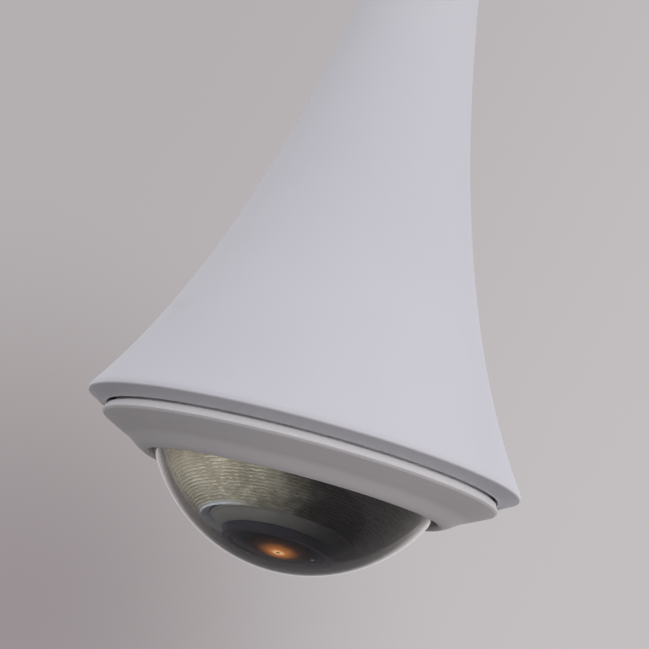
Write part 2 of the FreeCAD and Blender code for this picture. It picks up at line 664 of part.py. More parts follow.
def rj45_jack():
    body = block(JACK_SIZE, JACK_SIZE, BOARD_TOP_Z, JACK_TOP_Z, (0, JACK_Y))
    low, high = JACK_TOP_Z - JACK_PORT_DEPTH, JACK_TOP_Z + OVERCUT
    port = block(JACK_PORT_X, JACK_PORT_Y, low, high, (0, JACK_Y))
    latch = block(JACK_PORT_X / 2, JACK_PORT_Y / 2, low, high, (0, JACK_Y - JACK_PORT_Y / 2))
    return body.cut(port.fuse(latch))


def jack_contacts():
    """Spring contacts along the back wall of the port."""
    low, high = JACK_TOP_Z - JACK_PORT_DEPTH, JACK_TOP_Z - CONTACT_TIP_DROP
    y = JACK_Y + JACK_PORT_Y / 2 - CONTACT_DEPTH / 2
    places = [(CONTACT_PITCH * (i - (CONTACTS - 1) / 2), y) for i in range(CONTACTS)]
    return group([block(CONTACT_WIDTH, CONTACT_DEPTH, low, high, place) for place in places])


def card_socket():
    wall = 2 * SOCKET_WALL
    top = BOARD_TOP_Z + SOCKET_HEIGHT
    body = block(CARD_X + wall, CARD_THICK + wall, BOARD_TOP_Z, top, CARD_PLACE)
    slack, low = 2 * FREE, BOARD_TOP_Z + SOCKET_WALL
    return body.cut(block(CARD_X + slack, CARD_THICK + slack, low, top + OVERCUT, CARD_PLACE))


def memory_card():
    low = BOARD_TOP_Z + SOCKET_WALL + FREE
    card = block(CARD_X, CARD_THICK, low, low + CARD_LENGTH, CARD_PLACE)
    corner = (CARD_PLACE[0] + CARD_X / 2, CARD_PLACE[1])
    return card.cut(block(CARD_NOTCH[0], 2 * CARD_THICK, low - OVERCUT, low + CARD_NOTCH[1], corner))


def reset_switch():
    top = BOARD_TOP_Z + SWITCH_HEIGHT
    body = block(SWITCH_SIZE, SWITCH_SIZE, BOARD_TOP_Z, top, BUTTON_PLACE)
    return body.cut(disc(BUTTON_R + FREE, BOARD_TOP_Z + SWITCH_FLOOR, top + OVERCUT, BUTTON_PLACE))


def reset_button():
    low = BOARD_TOP_Z + SWITCH_FLOOR + BUTTON_TRAVEL + FREE
    top = BACK_TOP_Z - BUTTON_TOP_DROP
    stem = disc(BUTTON_R, low, top, BUTTON_PLACE)
    return stem.makeFillet(BUTTON_ROUND, rim_edges(stem, top))


def status_led():
    return block(LED_SIZE[0], LED_SIZE[1], BOARD_TOP_Z, BOARD_TOP_Z + LED_HEIGHT, LIGHT_PIPE_PLACE)


def light_pipe():
    return disc(LIGHT_PIPE_R, BOARD_TOP_Z + LED_HEIGHT, BACK_TOP_Z, LIGHT_PIPE_PLACE)


def processor():
    top = BOARD_TOP_Z + PROCESSOR
    return block(PROCESSOR_SIZE, PROCESSOR_SIZE, BOARD_TOP_Z, top, PROCESSOR_PLACE)


def thermal_pad():
    low = BOARD_TOP_Z + PROCESSOR
    return block(PROCESSOR_SIZE, PROCESSOR_SIZE, low, BACK_COVER_Z, PROCESSOR_PLACE)


def capacitors():
    top = BOARD_TOP_Z + CAPACITOR_HEIGHT
    return group([disc(CAPACITOR_R, BOARD_TOP_Z, top, place) for place in CAPACITOR_PLACES])


def power_transformer():
    size_x, size_y = TRANSFORMER_SIZE
    return block(size_x, size_y, BOARD_TOP_Z, BOARD_TOP_Z + TRANSFORMER_HEIGHT, TRANSFORMER_PLACE)


def flex_connector():
    low = MAIN_BOARD_Z - FLEX_HEIGHT
    body = block(FLEX_SIZE[0], FLEX_SIZE[1], low, MAIN_BOARD_Z, FLEX_PLACE)
    mouth = (FLEX_PLACE[0], FLEX_PLACE[1] - (FLEX_SIZE[1] - OVERCUT) / 2)
    return body.cut(block(FLEX_SLOT[0], FLEX_SLOT[1], low - OVERCUT, MAIN_BOARD_Z - FLEX_HEIGHT / 2, mouth))


# ---- pan yoke ---------------------------------------------------------
def trunnion(radius, start, end):
    """Rod along X at the dome centre, between two distances from the axis."""
    return Part.makeCylinder(radius, end - start, V(start, 0, DOME_CENTRE_Z), V(1, 0, 0))


def pan_yoke():
    low = PAN_DISC_LOW_Z
    clip_top = CIRCLIP_Z + CIRCLIP
    hub_top = clip_top + HUB_RIM
    groove_r = PAN_HUB_R - CIRCLIP_GROOVE
    body = turned([(PAN_HUB_BORE_R, low), (PAN_DISC_R, low), (PAN_DISC_R, PAN_DISC_TOP_Z),
                   (PAN_HUB_R, PAN_DISC_TOP_Z), (PAN_HUB_R, CIRCLIP_Z), (groove_r, CIRCLIP_Z),
                   (groove_r, clip_top), (PAN_HUB_R, clip_top), (PAN_HUB_R, hub_top), (PAN_HUB_BORE_R, hub_top)])
    half = YOKE_ARM_WIDTH / 2
    outside = YOKE_ARM_X + YOKE_ARM
    arm = Part.makeBox(YOKE_ARM, YOKE_ARM_WIDTH, low - DOME_CENTRE_Z, V(YOKE_ARM_X, -half, DOME_CENTRE_Z))
    eye = trunnion(half, YOKE_ARM_X, outside)
    gusset = Part.Face(Part.makePolygon([
        V(outside, -GUSSET / 2, low), V(outside + GUSSET_WIDTH, -GUSSET / 2, low),
        V(outside, -GUSSET / 2, low - GUSSET_HEIGHT), V(outside, -GUSSET / 2, low)])).extrude(V(0, GUSSET, 0))
    body = fuse_all(body, around(fuse_all(arm, [eye, gusset]), [0, 180]))
    return body.cut(trunnion(TRUNNION_R, -2 * YOKE_ARM_X, 2 * YOKE_ARM_X))


def trunnion_pins():
    outside = YOKE_ARM_X + YOKE_ARM
    head_end = outside + TRUNNION_HEAD
    pin = trunnion(TRUNNION_R, EYE_ARM_X, outside).fuse(trunnion(TRUNNION_HEAD_R, outside, head_end))
    socket = trunnion(TRUNNION_HEAD_R / 3, head_end - TRUNNION_SOCKET, head_end + OVERCUT)
    return group(around(pin.removeSplitter().cut(socket), [0, 180]))


def pan_circlip():
    top = CIRCLIP_Z + CIRCLIP
    clip = ring(PAN_HUB_R - CIRCLIP_GROOVE, CIRCLIP_R, CIRCLIP_Z, top)
    return clip.cut(block(PAN_HUB_R, CIRCLIP_SLOT, CIRCLIP_Z - OVERCUT, top + OVERCUT, (PAN_HUB_R, 0)))


def pan_washer():
    return ring(PAN_HUB_R, CIRCLIP_R, WASHER_Z, WASHER_Z + WAVE_WASHER)


# ---- eye --------------------------------------------------------------
def rib_radius(share):
    """Distance from the dome centre to the rib tips; share runs 0 to 1 from lens to rim."""
    return EYE_R - RIB_NOSE_SINK * (1 - share)


def polar(distance, angle):
    """(radius, height) of a point seen from the dome centre; angle 0 is straight down."""
    turn = math.radians(angle)
    return distance * math.sin(turn), DOME_CENTRE_Z - distance * math.cos(turn)


def eye_shell():
    """Bowl round the lens with fine concentric steps outside."""
    steps = []
    for i in range(RIB_COUNT + 1):
        share = i / RIB_COUNT
        angle = RIB_FIRST_ANGLE + (RIB_LAST_ANGLE - RIB_FIRST_ANGLE) * share
        steps.append(polar(rib_radius(share), angle))
    rim_z = steps[0][1] + EYE_BEVEL
    stair = [(EYE_OPENING_R, rim_z), steps[0]]
    for low, high in zip(steps, steps[1:]):
        stair.append((low[0], high[1]))
        stair.append(high)
    inner = []
    for share in (1.0, 0.75, 0.5, 0.25, 0.0):
        angle = RIB_FIRST_ANGLE + (RIB_LAST_ANGLE - RIB_FIRST_ANGLE) * share
        inner.append(polar(rib_radius(share) - RIB_STEP_DEPTH - EYE_SHELL_WALL, angle))
    inner[-1] = (EYE_OPENING_R, inner[-1][1])
    edges = chain(stair + [inner[0]]) + [curve(inner)] + chain([inner[-1], stair[0]])
    shell = spun(edges)
    boss_low = DOME_CENTRE_Z - math.sqrt(EYE_R ** 2 - EYE_BOSS_CIRCLE_R ** 2) + EYE_BOSS_SINK
    boss_high = DOME_CENTRE_Z - EYE_RING_FRONT
    boss = disc(EYE_BOSS_R, boss_low, boss_high, (EYE_BOSS_CIRCLE_R, 0))
    thread = disc(EYE_SCREW_R, boss_high - EYE_SCREW_REACH - FREE, boss_high + OVERCUT, (EYE_BOSS_CIRCLE_R, 0))
    shell = fuse_all(shell, around(boss, every(3, 30)))
    return cut_all(shell, around(thread, every(3, 30)))


def eye_frame():
    """Carrier with a ring for the lens and two arms to the trunnions."""
    low, high = depth(EYE_RING_FRONT), depth(EYE_RING_BACK)
    body = ring(BARREL_R + RUNNING, EYE_RING_R, low, high)
    tab = block(EYE_TAB_SIZE[0], EYE_TAB_SIZE[1], low, low + EYE_TAB, (EYE_BOSS_CIRCLE_R - EYE_TAB, 0))
    half = EYE_ARM_WIDTH / 2
    foot_x = BARREL_R + OVERCUT
    arm = Part.makeBox(EYE_ARM, EYE_ARM_WIDTH, DOME_CENTRE_Z - low, V(EYE_ARM_X, -half, low))
    foot = Part.makeBox(EYE_ARM_X + EYE_ARM - foot_x, EYE_ARM_WIDTH, high - low, V(foot_x, -half, low))
    arm = fuse_all(arm, [trunnion(half, EYE_ARM_X, EYE_ARM_X + EYE_ARM), foot])
    body = fuse_all(body, around(tab, every(3, 30)) + around(arm, [0, 180]))
    bore = trunnion(TRUNNION_R + RUNNING, -2 * YOKE_ARM_X, 2 * YOKE_ARM_X)
    hole = disc(EYE_SCREW_R + SCREW_SLACK, low - OVERCUT, low + EYE_TAB + OVERCUT, (EYE_BOSS_CIRCLE_R, 0))
    return cut_all(body, around(hole, every(3, 30)) + [bore])


def eye_screws():
    low = depth(EYE_RING_FRONT)
    screw = pan_head_screw(EYE_SCREW_R, low - EYE_SCREW_REACH, low + EYE_TAB, EYE_SCREW_HEAD_R, EYE_SCREW_HEAD,
                           EYE_BOSS_CIRCLE_R)
    return group(around(screw, every(3, 30)))


# ---- lens and sensor, looking straight down ---------------------------
def depth(distance):
    """Height of a point on the lens axis this far in front of the dome centre."""
    return DOME_CENTRE_Z - distance


def lens_collar():
    outer = EYE_OPENING_R - FREE
    return turned([(outer, depth(COLLAR_BACK)), (outer, depth(COLLAR_EDGE)),
                   (BARREL_R, depth(COLLAR_FRONT)), (BARREL_R, depth(COLLAR_BACK))])


def lens_barrel():
    return turned([
        (BARREL_NOSE_R, depth(NOSE_FRONT)), (BARREL_NOSE_R, depth(COLLAR_FRONT)),
        (BARREL_R, depth(COLLAR_FRONT)), (BARREL_R, depth(BARREL_STEP)),
        (BARREL_REAR_R, depth(BARREL_STEP)), (BARREL_REAR_R, depth(BARREL_END)),
        (ELEMENT_THREE_R, depth(BARREL_END)), (ELEMENT_THREE_R, depth(BARREL_STEP)),
        (BARREL_BORE_R, depth(BARREL_STEP)), (BARREL_BORE_R, depth(SHOULDER)),
        (ELEMENT_TWO_R, depth(SHOULDER)), (ELEMENT_TWO_R, depth(GLASS_SEAT)),
        (GLASS_R, depth(GLASS_SEAT)), (GLASS_R, depth(NOSE_FRONT))])


def bulge_arc(radius, edge_depth, bulge):
    """Edge from the rim of a lens face to its axis, standing out by bulge."""
    sphere = (radius ** 2 + bulge ** 2) / (2 * bulge)
    half = radius / 2
    middle = edge_depth + bulge - (sphere - math.copysign(math.sqrt(sphere ** 2 - half ** 2), bulge))
    return arc((radius, depth(edge_depth)), (half, depth(middle)), (0, depth(edge_depth + bulge)))


def lens_element(radius, back, front, back_bulge, front_bulge):
    """Round glass; positive bulges stand out towards the front."""
    edges = [bulge_arc(radius, front, front_bulge), bulge_arc(radius, back, back_bulge)]
    edges += chain([(0, depth(front + front_bulge)), (0, depth(back + back_bulge))])
    edges += chain([(radius, depth(back)), (radius, depth(front))])
    return spun(Part.sortEdges(edges)[0])


def front_element():
    return lens_element(GLASS_R, GLASS_SEAT, NOSE_FRONT - RING_LIP, GLASS_BACK_BULGE, GLASS_BULGE)


def front_ring():
    """Threaded ring that holds the front glass; bevelled clear of its bulge."""
    low, high = depth(NOSE_FRONT), depth(NOSE_FRONT - RING_LIP)
    inner = GLASS_R - RING_WIDTH
    return turned([(GLASS_R, low), (GLASS_R, high), (inner, high - RING_BEVEL), (inner, low)])


def second_element():
    front = SHOULDER + ELEMENT_TWO
    return lens_element(ELEMENT_TWO_R, SHOULDER, front, ELEMENT_TWO_BULGE, -ELEMENT_TWO_BULGE)


def element_spacer():
    inner = ELEMENT_TWO_R - ELEMENT_TWO_BULGE
    return ring(inner, ELEMENT_TWO_R, depth(GLASS_SEAT), depth(SHOULDER + ELEMENT_TWO))


def iris_ring():
    return ring(IRIS_R, BARREL_BORE_R, depth(BARREL_STEP + IRIS), depth(BARREL_STEP))


def rear_element():
    back, front = REAR_ELEMENT
    return lens_element(ELEMENT_THREE_R, back, front, -REAR_ELEMENT_BULGE, REAR_ELEMENT_BULGE)


def lens_mount():
    """Holder that clamps the barrel's tail and closes on the filter housing."""
    size_x, size_y = FILTER_HOUSING_SIZE
    low, high = depth(BARREL_END), depth(FILTER_HOUSING_FRONT)
    plate = block(size_x, size_y, low, high)
    sleeve = ring(BARREL_REAR_R, BARREL_REAR_R + MOUNT_SLEEVE_WALL, low - MOUNT_SLEEVE, low)
    window = disc(FILTER_WINDOW_R + WINDOW_MARGIN, low - OVERCUT, high + OVERCUT)
    return plate.fuse(sleeve).removeSplitter().cut(window)


def filter_housing():
    size_x, size_y = FILTER_HOUSING_SIZE
    body = block(size_x, size_y, depth(FILTER_HOUSING_FRONT), depth(FILTER_HOUSING_BACK))
    track_x = FILTER_FRAME_SIZE[0] + FILTER_PITCH + 2 * FREE
    track_y = FILTER_FRAME_SIZE[1] + 2 * FREE
    track = block(track_x, track_y, depth(FILTER_BACK + FILTER_FRAME + FREE), depth(FILTER_BACK - FREE))
    low, high = depth(FILTER_HOUSING_FRONT), depth(FILTER_HOUSING_BACK)
    return cut_all(body, [track, disc(FILTER_WINDOW_R + WINDOW_MARGIN, low - OVERCUT, high + OVERCUT)])


def filter_frame():
    size_x, size_y = FILTER_FRAME_SIZE
    start = -FILTER_PITCH / 2
    low, high = depth(FILTER_BACK + FILTER_FRAME), depth(FILTER_BACK)
    frame = block(size_x, size_y, low, high, (start, 0))
    for side in (-1, 1):
        place = (start + side * FILTER_PITCH / 2, 0)
        frame = frame.cut(disc(FILTER_WINDOW_R, low - OVERCUT, high + OVERCUT, place))
    return frame


def filter_pane(x):
    low = depth(FILTER_BACK + FILTER_FRAME / 2 + FILTER_GLASS / 2)
    return disc(FILTER_WINDOW_R, low, low + FILTER_GLASS, (x, 0))


def filter_coil():
    low, high = depth(FILTER_HOUSING_FRONT - FILTER_COIL_INSET), depth(FILTER_HOUSING_BACK + FILTER_COIL_INSET)
    size_x, size_y = FILTER_COIL_SIZE
    return block(size_x, size_y, low, high, (0, (FILTER_HOUSING_SIZE[1] + size_y) / 2))


def sensor_corners(radius, low, high):
    reach_x = FILTER_HOUSING_SIZE[0] / 2 - SENSOR_SCREW_INSET
    reach_y = FILTER_HOUSING_SIZE[1] / 2 - SENSOR_SCREW_INSET
    return [disc(radius, low, high, (x, y)) for x in (-reach_x, reach_x) for y in (-reach_y, reach_y)]


def sensor_board():
    low, high = depth(SENSOR_BOARD_FRONT), depth(SENSOR_BOARD_FRONT - BOARD)
    board = block(SENSOR_BOARD_SIZE, SENSOR_BOARD_SIZE, low, high)
    return cut_all(board, sensor_corners(SENSOR_SCREW_R, low - OVERCUT, high + OVERCUT))


def sensor_standoffs():
    low, high = depth(FILTER_HOUSING_BACK), depth(SENSOR_BOARD_FRONT)
    posts = sensor_corners(SENSOR_POST_R, low, high)
    bores = sensor_corners(SENSOR_SCREW_R, low - OVERCUT, high + OVERCUT)
    return group([post.cut(bore) for post, bore in zip(posts, bores)])


def sensor_screws():
    top = depth(SENSOR_BOARD_FRONT - BOARD)
    shanks = sensor_corners(SENSOR_SCREW_R, depth(FILTER_HOUSING_BACK), top)
    heads = sensor_corners(SENSOR_SCREW_HEAD_R, top, top + SENSOR_SCREW_HEAD)
    return group([shank.fuse(head).removeSplitter() for shank, head in zip(shanks, heads)])


def image_sensor():
    low, high = depth(SENSOR_BOARD_FRONT + SENSOR), depth(SENSOR_BOARD_FRONT)
    return block(SENSOR_SIZE[0], SENSOR_SIZE[1], low, high)


# ---- cover ------------------------------------------------------------
def dome_bubble():
    seat_r = DOME_FLANGE_R - DOME_FLANGE_WIDTH
    top = DOME_SEAT_Z + DOME_FLANGE
    inside_r = math.sqrt(DOME_BORE_R ** 2 - (DOME_CENTRE_Z - top) ** 2)
    lean_out = math.degrees(math.asin(seat_r / DOME_R))
    lean_in = math.degrees(math.asin(inside_r / DOME_BORE_R))
    edges = [arc((0, DOME_CENTRE_Z - DOME_R), polar(DOME_R, lean_out / 2), (seat_r, DOME_SEAT_Z))]
    flange = [(seat_r, DOME_SEAT_Z), (DOME_FLANGE_R, DOME_SEAT_Z), (DOME_FLANGE_R, top), (inside_r, top)]
    edges += chain(flange)
    edges.append(arc((inside_r, top), polar(DOME_BORE_R, lean_in / 2), (0, DOME_CENTRE_Z - DOME_BORE_R)))
    edges += chain([(0, DOME_CENTRE_Z - DOME_BORE_R), (0, DOME_CENTRE_Z - DOME_R)])
    return spun(edges)


def opening_r(z):
    """Radius of the bezel's bore round the dome at a height."""
    return math.sqrt(DOME_R ** 2 - (DOME_CENTRE_Z - z) ** 2) + OPENING_GAP


def bezel_skirt():
    """Trim ring: upright band, hollow-curved skirt and rounded lip round the dome."""
    band_low = BAND_TOP_Z - BAND_HEIGHT
    band_edge = (BAND_R + BAND_FLARE, band_low)
    lip_r = opening_r(OPENING_Z)
    lip_foot = (lip_r + BEZEL_FOOT, BEZEL_LIP_Z)
    lip_top = BEZEL_LIP_Z + BEZEL_FOOT_HEIGHT
    undercut = (band_edge[0] - BAND_LIP, band_low - BAND_LIP_DROP)
    width = band_edge[0] - lip_foot[0]
    drop = band_low - BEZEL_LIP_Z
    hollow = [(lip_foot[0] + a * width, BEZEL_LIP_Z + b * drop) for a, b in SKIRT_SHAPE]
    edges = chain([(SPIGOT_R, SPIGOT_TOP_Z), (SPIGOT_R, BAND_TOP_Z), (BAND_R, BAND_TOP_Z), band_edge, undercut])
    edges.append(curve([undercut] + hollow + [lip_foot]))
    knee = (lip_r + 0.28 * BEZEL_FOOT, BEZEL_LIP_Z + 0.3 * BEZEL_FOOT_HEIGHT)
    edges.append(arc(lip_foot, knee, (lip_r, lip_top)))
    edges += chain([(lip_r, lip_top), (lip_r, OPENING_Z), (opening_r(LEDGE_Z), LEDGE_Z),
                    (SPIGOT_BORE_R, LEDGE_Z), (SPIGOT_BORE_R, SPIGOT_TOP_Z), (SPIGOT_R, SPIGOT_TOP_Z)])
    ring_solid = spun(edges)
    low = LEDGE_Z - RETAINER_SCREW_REACH - SCREW_SLACK
    thread = disc(RETAINER_SCREW_R, low, LEDGE_Z + OVERCUT, (RETAINER_SCREW_CIRCLE_R, 0))
    return cut_all(ring_solid, around(thread, every(RETAINER_SCREWS, 30)))


def dome_gasket():
    return ring(opening_r(LEDGE_Z) + GASKET_INSET, DOME_FLANGE_R, LEDGE_Z, DOME_SEAT_Z)


def dome_retainer():
    top = RETAINER_Z + RETAINER
    inner = DOME_FLANGE_R - DOME_FLANGE_WIDTH + RETAINER_INSET
    foot_r = DOME_FLANGE_R + FREE
    clamp = turned([(inner, RETAINER_Z), (foot_r, RETAINER_Z), (foot_r, LEDGE_Z), (RETAINER_R, LEDGE_Z),
                    (RETAINER_R, top), (inner, top)])
    low, high = LEDGE_Z - OVERCUT, top + OVERCUT
    hole = disc(RETAINER_SCREW_R + SCREW_SLACK, low, high, (RETAINER_SCREW_CIRCLE_R, 0))
    return cut_all(clamp, around(hole, every(RETAINER_SCREWS, 30)))


def retainer_screws():
    screw = pan_head_screw(RETAINER_SCREW_R, LEDGE_Z - RETAINER_SCREW_REACH, RETAINER_Z + RETAINER,
                           SCREW_HEAD_R, SCREW_HEAD, RETAINER_SCREW_CIRCLE_R)
    return group(around(screw, every(RETAINER_SCREWS, 30)))


STRAIGHT = [
    pendant_shroud, pipe_hub, hub_screws, pipe_lock_screw, mounting_plate, plate_screws,
    camera_base, back_cover, back_cover_screws, bayonet_studs, cover_springs, spring_screws, cover_seal,
    main_board, board_standoffs, board_screws, rj45_jack, jack_contacts, card_socket, memory_card,
    reset_switch, reset_button, status_led, light_pipe, processor, thermal_pad, capacitors,
    power_transformer, flex_connector, pan_yoke, trunnion_pins, pan_circlip, pan_washer,
    bezel_skirt, dome_bubble, dome_gasket, dome_retainer, retainer_screws,
]
AIMED = [
    eye_shell, eye_frame, eye_screws, lens_collar, lens_barrel, front_element, front_ring,
    second_element, element_spacer, iris_ring, rear_element, lens_mount, filter_housing, filter_frame,
    filter_coil, sensor_board, sensor_standoffs, sensor_screws, image_sensor,
]


def main():
    os.makedirs("parts", exist_ok=True)
    for make in STRAIGHT:
        save(make.__name__, make())
    for make in AIMED:
        save(make.__name__, make(), aimed=True)
    save("ir_cut_pane", filter_pane(0.0), aimed=True)
    save("clear_pane", filter_pane(-FILTER_PITCH), aimed=True)


main()
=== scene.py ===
"""Dome camera on a trumpet pendant: fine shapes, finishes, lights and camera.

Heights in the outlines are millimetres above the lip of the shroud, as in the
solid model; to_frame() brings a finished mesh to metres below the pipe mouth.
"""
import json
import math

import bmesh
import bpy
from mathutils import Matrix, Vector


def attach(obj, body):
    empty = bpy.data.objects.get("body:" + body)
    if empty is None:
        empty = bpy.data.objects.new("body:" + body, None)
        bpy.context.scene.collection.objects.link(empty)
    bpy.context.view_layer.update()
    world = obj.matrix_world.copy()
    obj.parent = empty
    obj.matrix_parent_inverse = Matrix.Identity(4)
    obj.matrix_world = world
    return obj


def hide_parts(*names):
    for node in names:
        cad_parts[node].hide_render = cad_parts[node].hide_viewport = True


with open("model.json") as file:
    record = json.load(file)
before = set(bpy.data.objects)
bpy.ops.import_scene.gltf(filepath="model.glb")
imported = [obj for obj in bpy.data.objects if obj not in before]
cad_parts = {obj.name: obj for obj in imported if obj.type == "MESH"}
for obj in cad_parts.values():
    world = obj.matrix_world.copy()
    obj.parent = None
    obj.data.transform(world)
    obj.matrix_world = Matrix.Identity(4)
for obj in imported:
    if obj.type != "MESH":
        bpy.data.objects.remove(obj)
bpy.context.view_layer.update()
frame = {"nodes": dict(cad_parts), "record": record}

MM = 1000                      # millimetres in a metre

# ---- sizes in millimetres and degrees, as in the solid model -----------
LIP_HEIGHT = 195.0             # from the shroud's lip up to the pipe mouth
HORN_NECKING, FLARE, FLARE_HEIGHT = 1.383, 0.0455, 35.0
HORN_RATE = LIP_HEIGHT / HORN_NECKING
LIP_R, SHROUD_WALL, MOUTH_R = 82.9, 2.5, 73.8
LIP_ROUND, LIP_DROP, LIP_FLAT = 2.2, 2.4, 2.1
CEILING, HUB_R, PIPE_R, PIPE_LENGTH = 160.0, 16.0, 12.15, 20.0
LOCK_SCREW_R, LOCK_SCREW_DROP = 2.1, 9.0
BOSS_R, BOSS_BORE_R, BOSS_CIRCLE_R, PLATE_TOP = 4.2, 1.65, 45.5, 52.0
DOME_R, DOME_CENTRE = 59.4, 13.4
DOME_WALL = 1.2                # thinner than the solid one, for a fine bright edge
DOME_SEAT, DOME_FLANGE, DOME_FLANGE_WIDTH, LEDGE = -5.0, 2.0, 7.0, -6.0
OPENING, OPENING_GAP, BEZEL_FOOT = -12.8, 1.3, -15.6
BAND_TOP, BAND, BAND_R, BAND_FLARE = -2.9, 2.6, 73.5, 1.15
SPIGOT_R, SPIGOT_BORE_R, SPIGOT_TOP = 71.0, 69.0, 7.0
EYE_R, EYE_WALL, EYE_OPENING_R, EYE_BEVEL = 56.5, 2.9, 26.8, 1.6
RIBS, RIB_FIRST, RIB_LAST, RIB_SINK, RIB_DEPTH = 32, 32.2, 75.0, 1.0, 0.55
EYE_BOSS_CIRCLE_R = 33.0
AIM_TILT = math.radians(11.0)
COLLAR_R, COLLAR_BEAD, COLLAR_BOW = 26.41, 1.0, 0.25
COLLAR_BACK, COLLAR_EDGE, COLLAR_FRONT = 43.6, 45.8, 49.4
BARREL_R, BARREL_BORE_R, BARREL_STEP, BARREL_END = 21.0, 11.0, 30.0, 16.0
REAR_R, REAR_BORE_R, SEAT_R, SHOULDER = 14.0, 9.5, 15.0, 35.89
GRIP_RINGS, GRIP_PITCH, GRIP_DEEP = 8, 0.8, 0.25
NOSE_R, NOSE_FRONT = 20.4, 52.69
GLASS_R, GLASS_SEAT, GLASS_SINK, GLASS_BULGE, GLASS_HOLLOW = 18.6, 47.89, 1.2, 3.6, 1.6
THREAD_PITCH = 0.8


# ---- node trees --------------------------------------------------------
class Wire:
    """One value, vector or shape on its way through a node tree."""

    def __init__(self, sheet, socket):
        self.sheet, self.socket = sheet, socket

    def sums(self, operation, first, second=None):
        values = {0: first} if second is None else {0: first, 1: second}
        return self.sheet.add("ShaderNodeMath", {"operation": operation}, values)

    def __add__(self, other): return self.sums("ADD", self, other)
    def __radd__(self, other): return self.sums("ADD", other, self)
    def __sub__(self, other): return self.sums("SUBTRACT", self, other)
    def __rsub__(self, other): return self.sums("SUBTRACT", other, self)
    def __mul__(self, other): return self.sums("MULTIPLY", self, other)
    def __truediv__(self, other): return self.sums("DIVIDE", self, other)
    def __pow__(self, other): return self.sums("POWER", self, other)
    def __mod__(self, other): return self.sums("FLOORED_MODULO", self, other)
    def __gt__(self, other): return self.sums("GREATER_THAN", self, other)
    def floor(self): return self.sums("FLOOR", self)
    def sine(self): return self.sums("SINE", self)
    def cosine(self): return self.sums("COSINE", self)
    def root(self): return self.sums("SQRT", self)
    def size(self): return self.sums("ABSOLUTE", self)
    def least(self, other): return self.sums("MINIMUM", self, other)

    def rise(self, start, end):
        """0 below start, 1 above end, smooth between; start may be the larger."""
        settings = {"interpolation_type": "SMOOTHSTEP", "clamp": True}
        values = {"Value": self, "From Min": start, "From Max": end}
        return self.sheet.add("ShaderNodeMapRange", settings, values)

    def other(self, name):
        """Another output of the same node."""
        return Wire(self.sheet, self.socket.node.outputs[name])


class Sheet:
    """A node tree that is written one expression at a time."""

    def __init__(self, tree):
        self.tree = tree
        self.tree.nodes.clear()

    def add(self, kind, settings=None, values=None, out=0):
        """Adds a node, sets its settings, then its sockets' values or links."""
        node = self.tree.nodes.new(kind)
        for name, value in (settings or {}).items():
            if name == "stops":
                stops = node.color_ramp.elements
                while len(stops) < len(value):
                    stops.new(1.0)
                for stop, (place, colour) in zip(stops, value):
                    stop.position, stop.color = place, (*colour, 1.0)
            else:
                setattr(node, name, value)
        for name, value in (values or {}).items():
            socket = node.inputs[name]
            if isinstance(value, Wire):
                self.tree.links.new(value.socket, socket)
            else:
                socket.default_value = value
        return Wire(self, node.outputs[out]) if len(node.outputs) else node

    def mix(self, mask, first, second):
        """Colour first where the mask is 0, second where it is 1."""
        values = {0: mask}
        for key, colour in ((6, first), (7, second)):
            values[key] = colour if isinstance(colour, Wire) else (*colour, 1.0)
        return self.add("ShaderNodeMix", {"data_type": "RGBA"}, values, out=2)


# ---- shape trees -------------------------------------------------------
def shape_tree(name, inputs):
    """A geometry tree with a shape in, a shape out and named inputs."""
    tree = bpy.data.node_groups.new(name, "GeometryNodeTree")
    sheet = Sheet(tree)
    tree.interface.new_socket("Shape", in_out="INPUT", socket_type="NodeSocketGeometry")
    for label, kind in inputs.items():
        tree.interface.new_socket(label, in_out="INPUT", socket_type="NodeSocket" + kind)
    tree.interface.new_socket("Shape", in_out="OUTPUT", socket_type="NodeSocketGeometry")
    return sheet, sheet.add("NodeGroupInput")


def end_tree(sheet, shape, ports):
    real = sheet.add("GeometryNodeRealizeInstances", {}, {"Geometry": shape})
    values = {"Geometry": real, "Material": ports.other("Finish")}
    done = sheet.add("GeometryNodeSetMaterial", {}, values)
    sheet.add("NodeGroupOutput", {}, {0: done})
    return sheet.tree


def lathe_tree():
    """Spins an outline, given as a row of points, round the upright axis."""
    sheet, ports = shape_tree("lathe", {
        "Points": "Int", "Rows": "Int", "Steps": "Int", "Finish": "Material"})
    rows, steps = ports.other("Rows"), ports.other("Steps")
    grid = sheet.add("GeometryNodeMeshGrid", {}, {"Vertices X": steps + 1, "Vertices Y": rows})
    index = sheet.add("GeometryNodeInputIndex")
    point = (index % rows) % ports.other("Points")
    turn = (index / rows).floor() / steps * math.tau
    here = sheet.add("GeometryNodeInputPosition")
    sample = sheet.add("GeometryNodeSampleIndex", {"data_type": "FLOAT_VECTOR"},
                       {"Geometry": ports, "Value": here, "Index": point})
    place = sheet.add("ShaderNodeVectorRotate", {"rotation_type": "Z_AXIS"},
                      {"Vector": sample, "Angle": turn})
    spun = sheet.add("GeometryNodeSetPosition", {}, {"Geometry": grid, "Position": place})
    closed = sheet.add("GeometryNodeMergeByDistance", {}, {"Geometry": spun, "Distance": 1e-6})
    return end_tree(sheet, closed, ports)


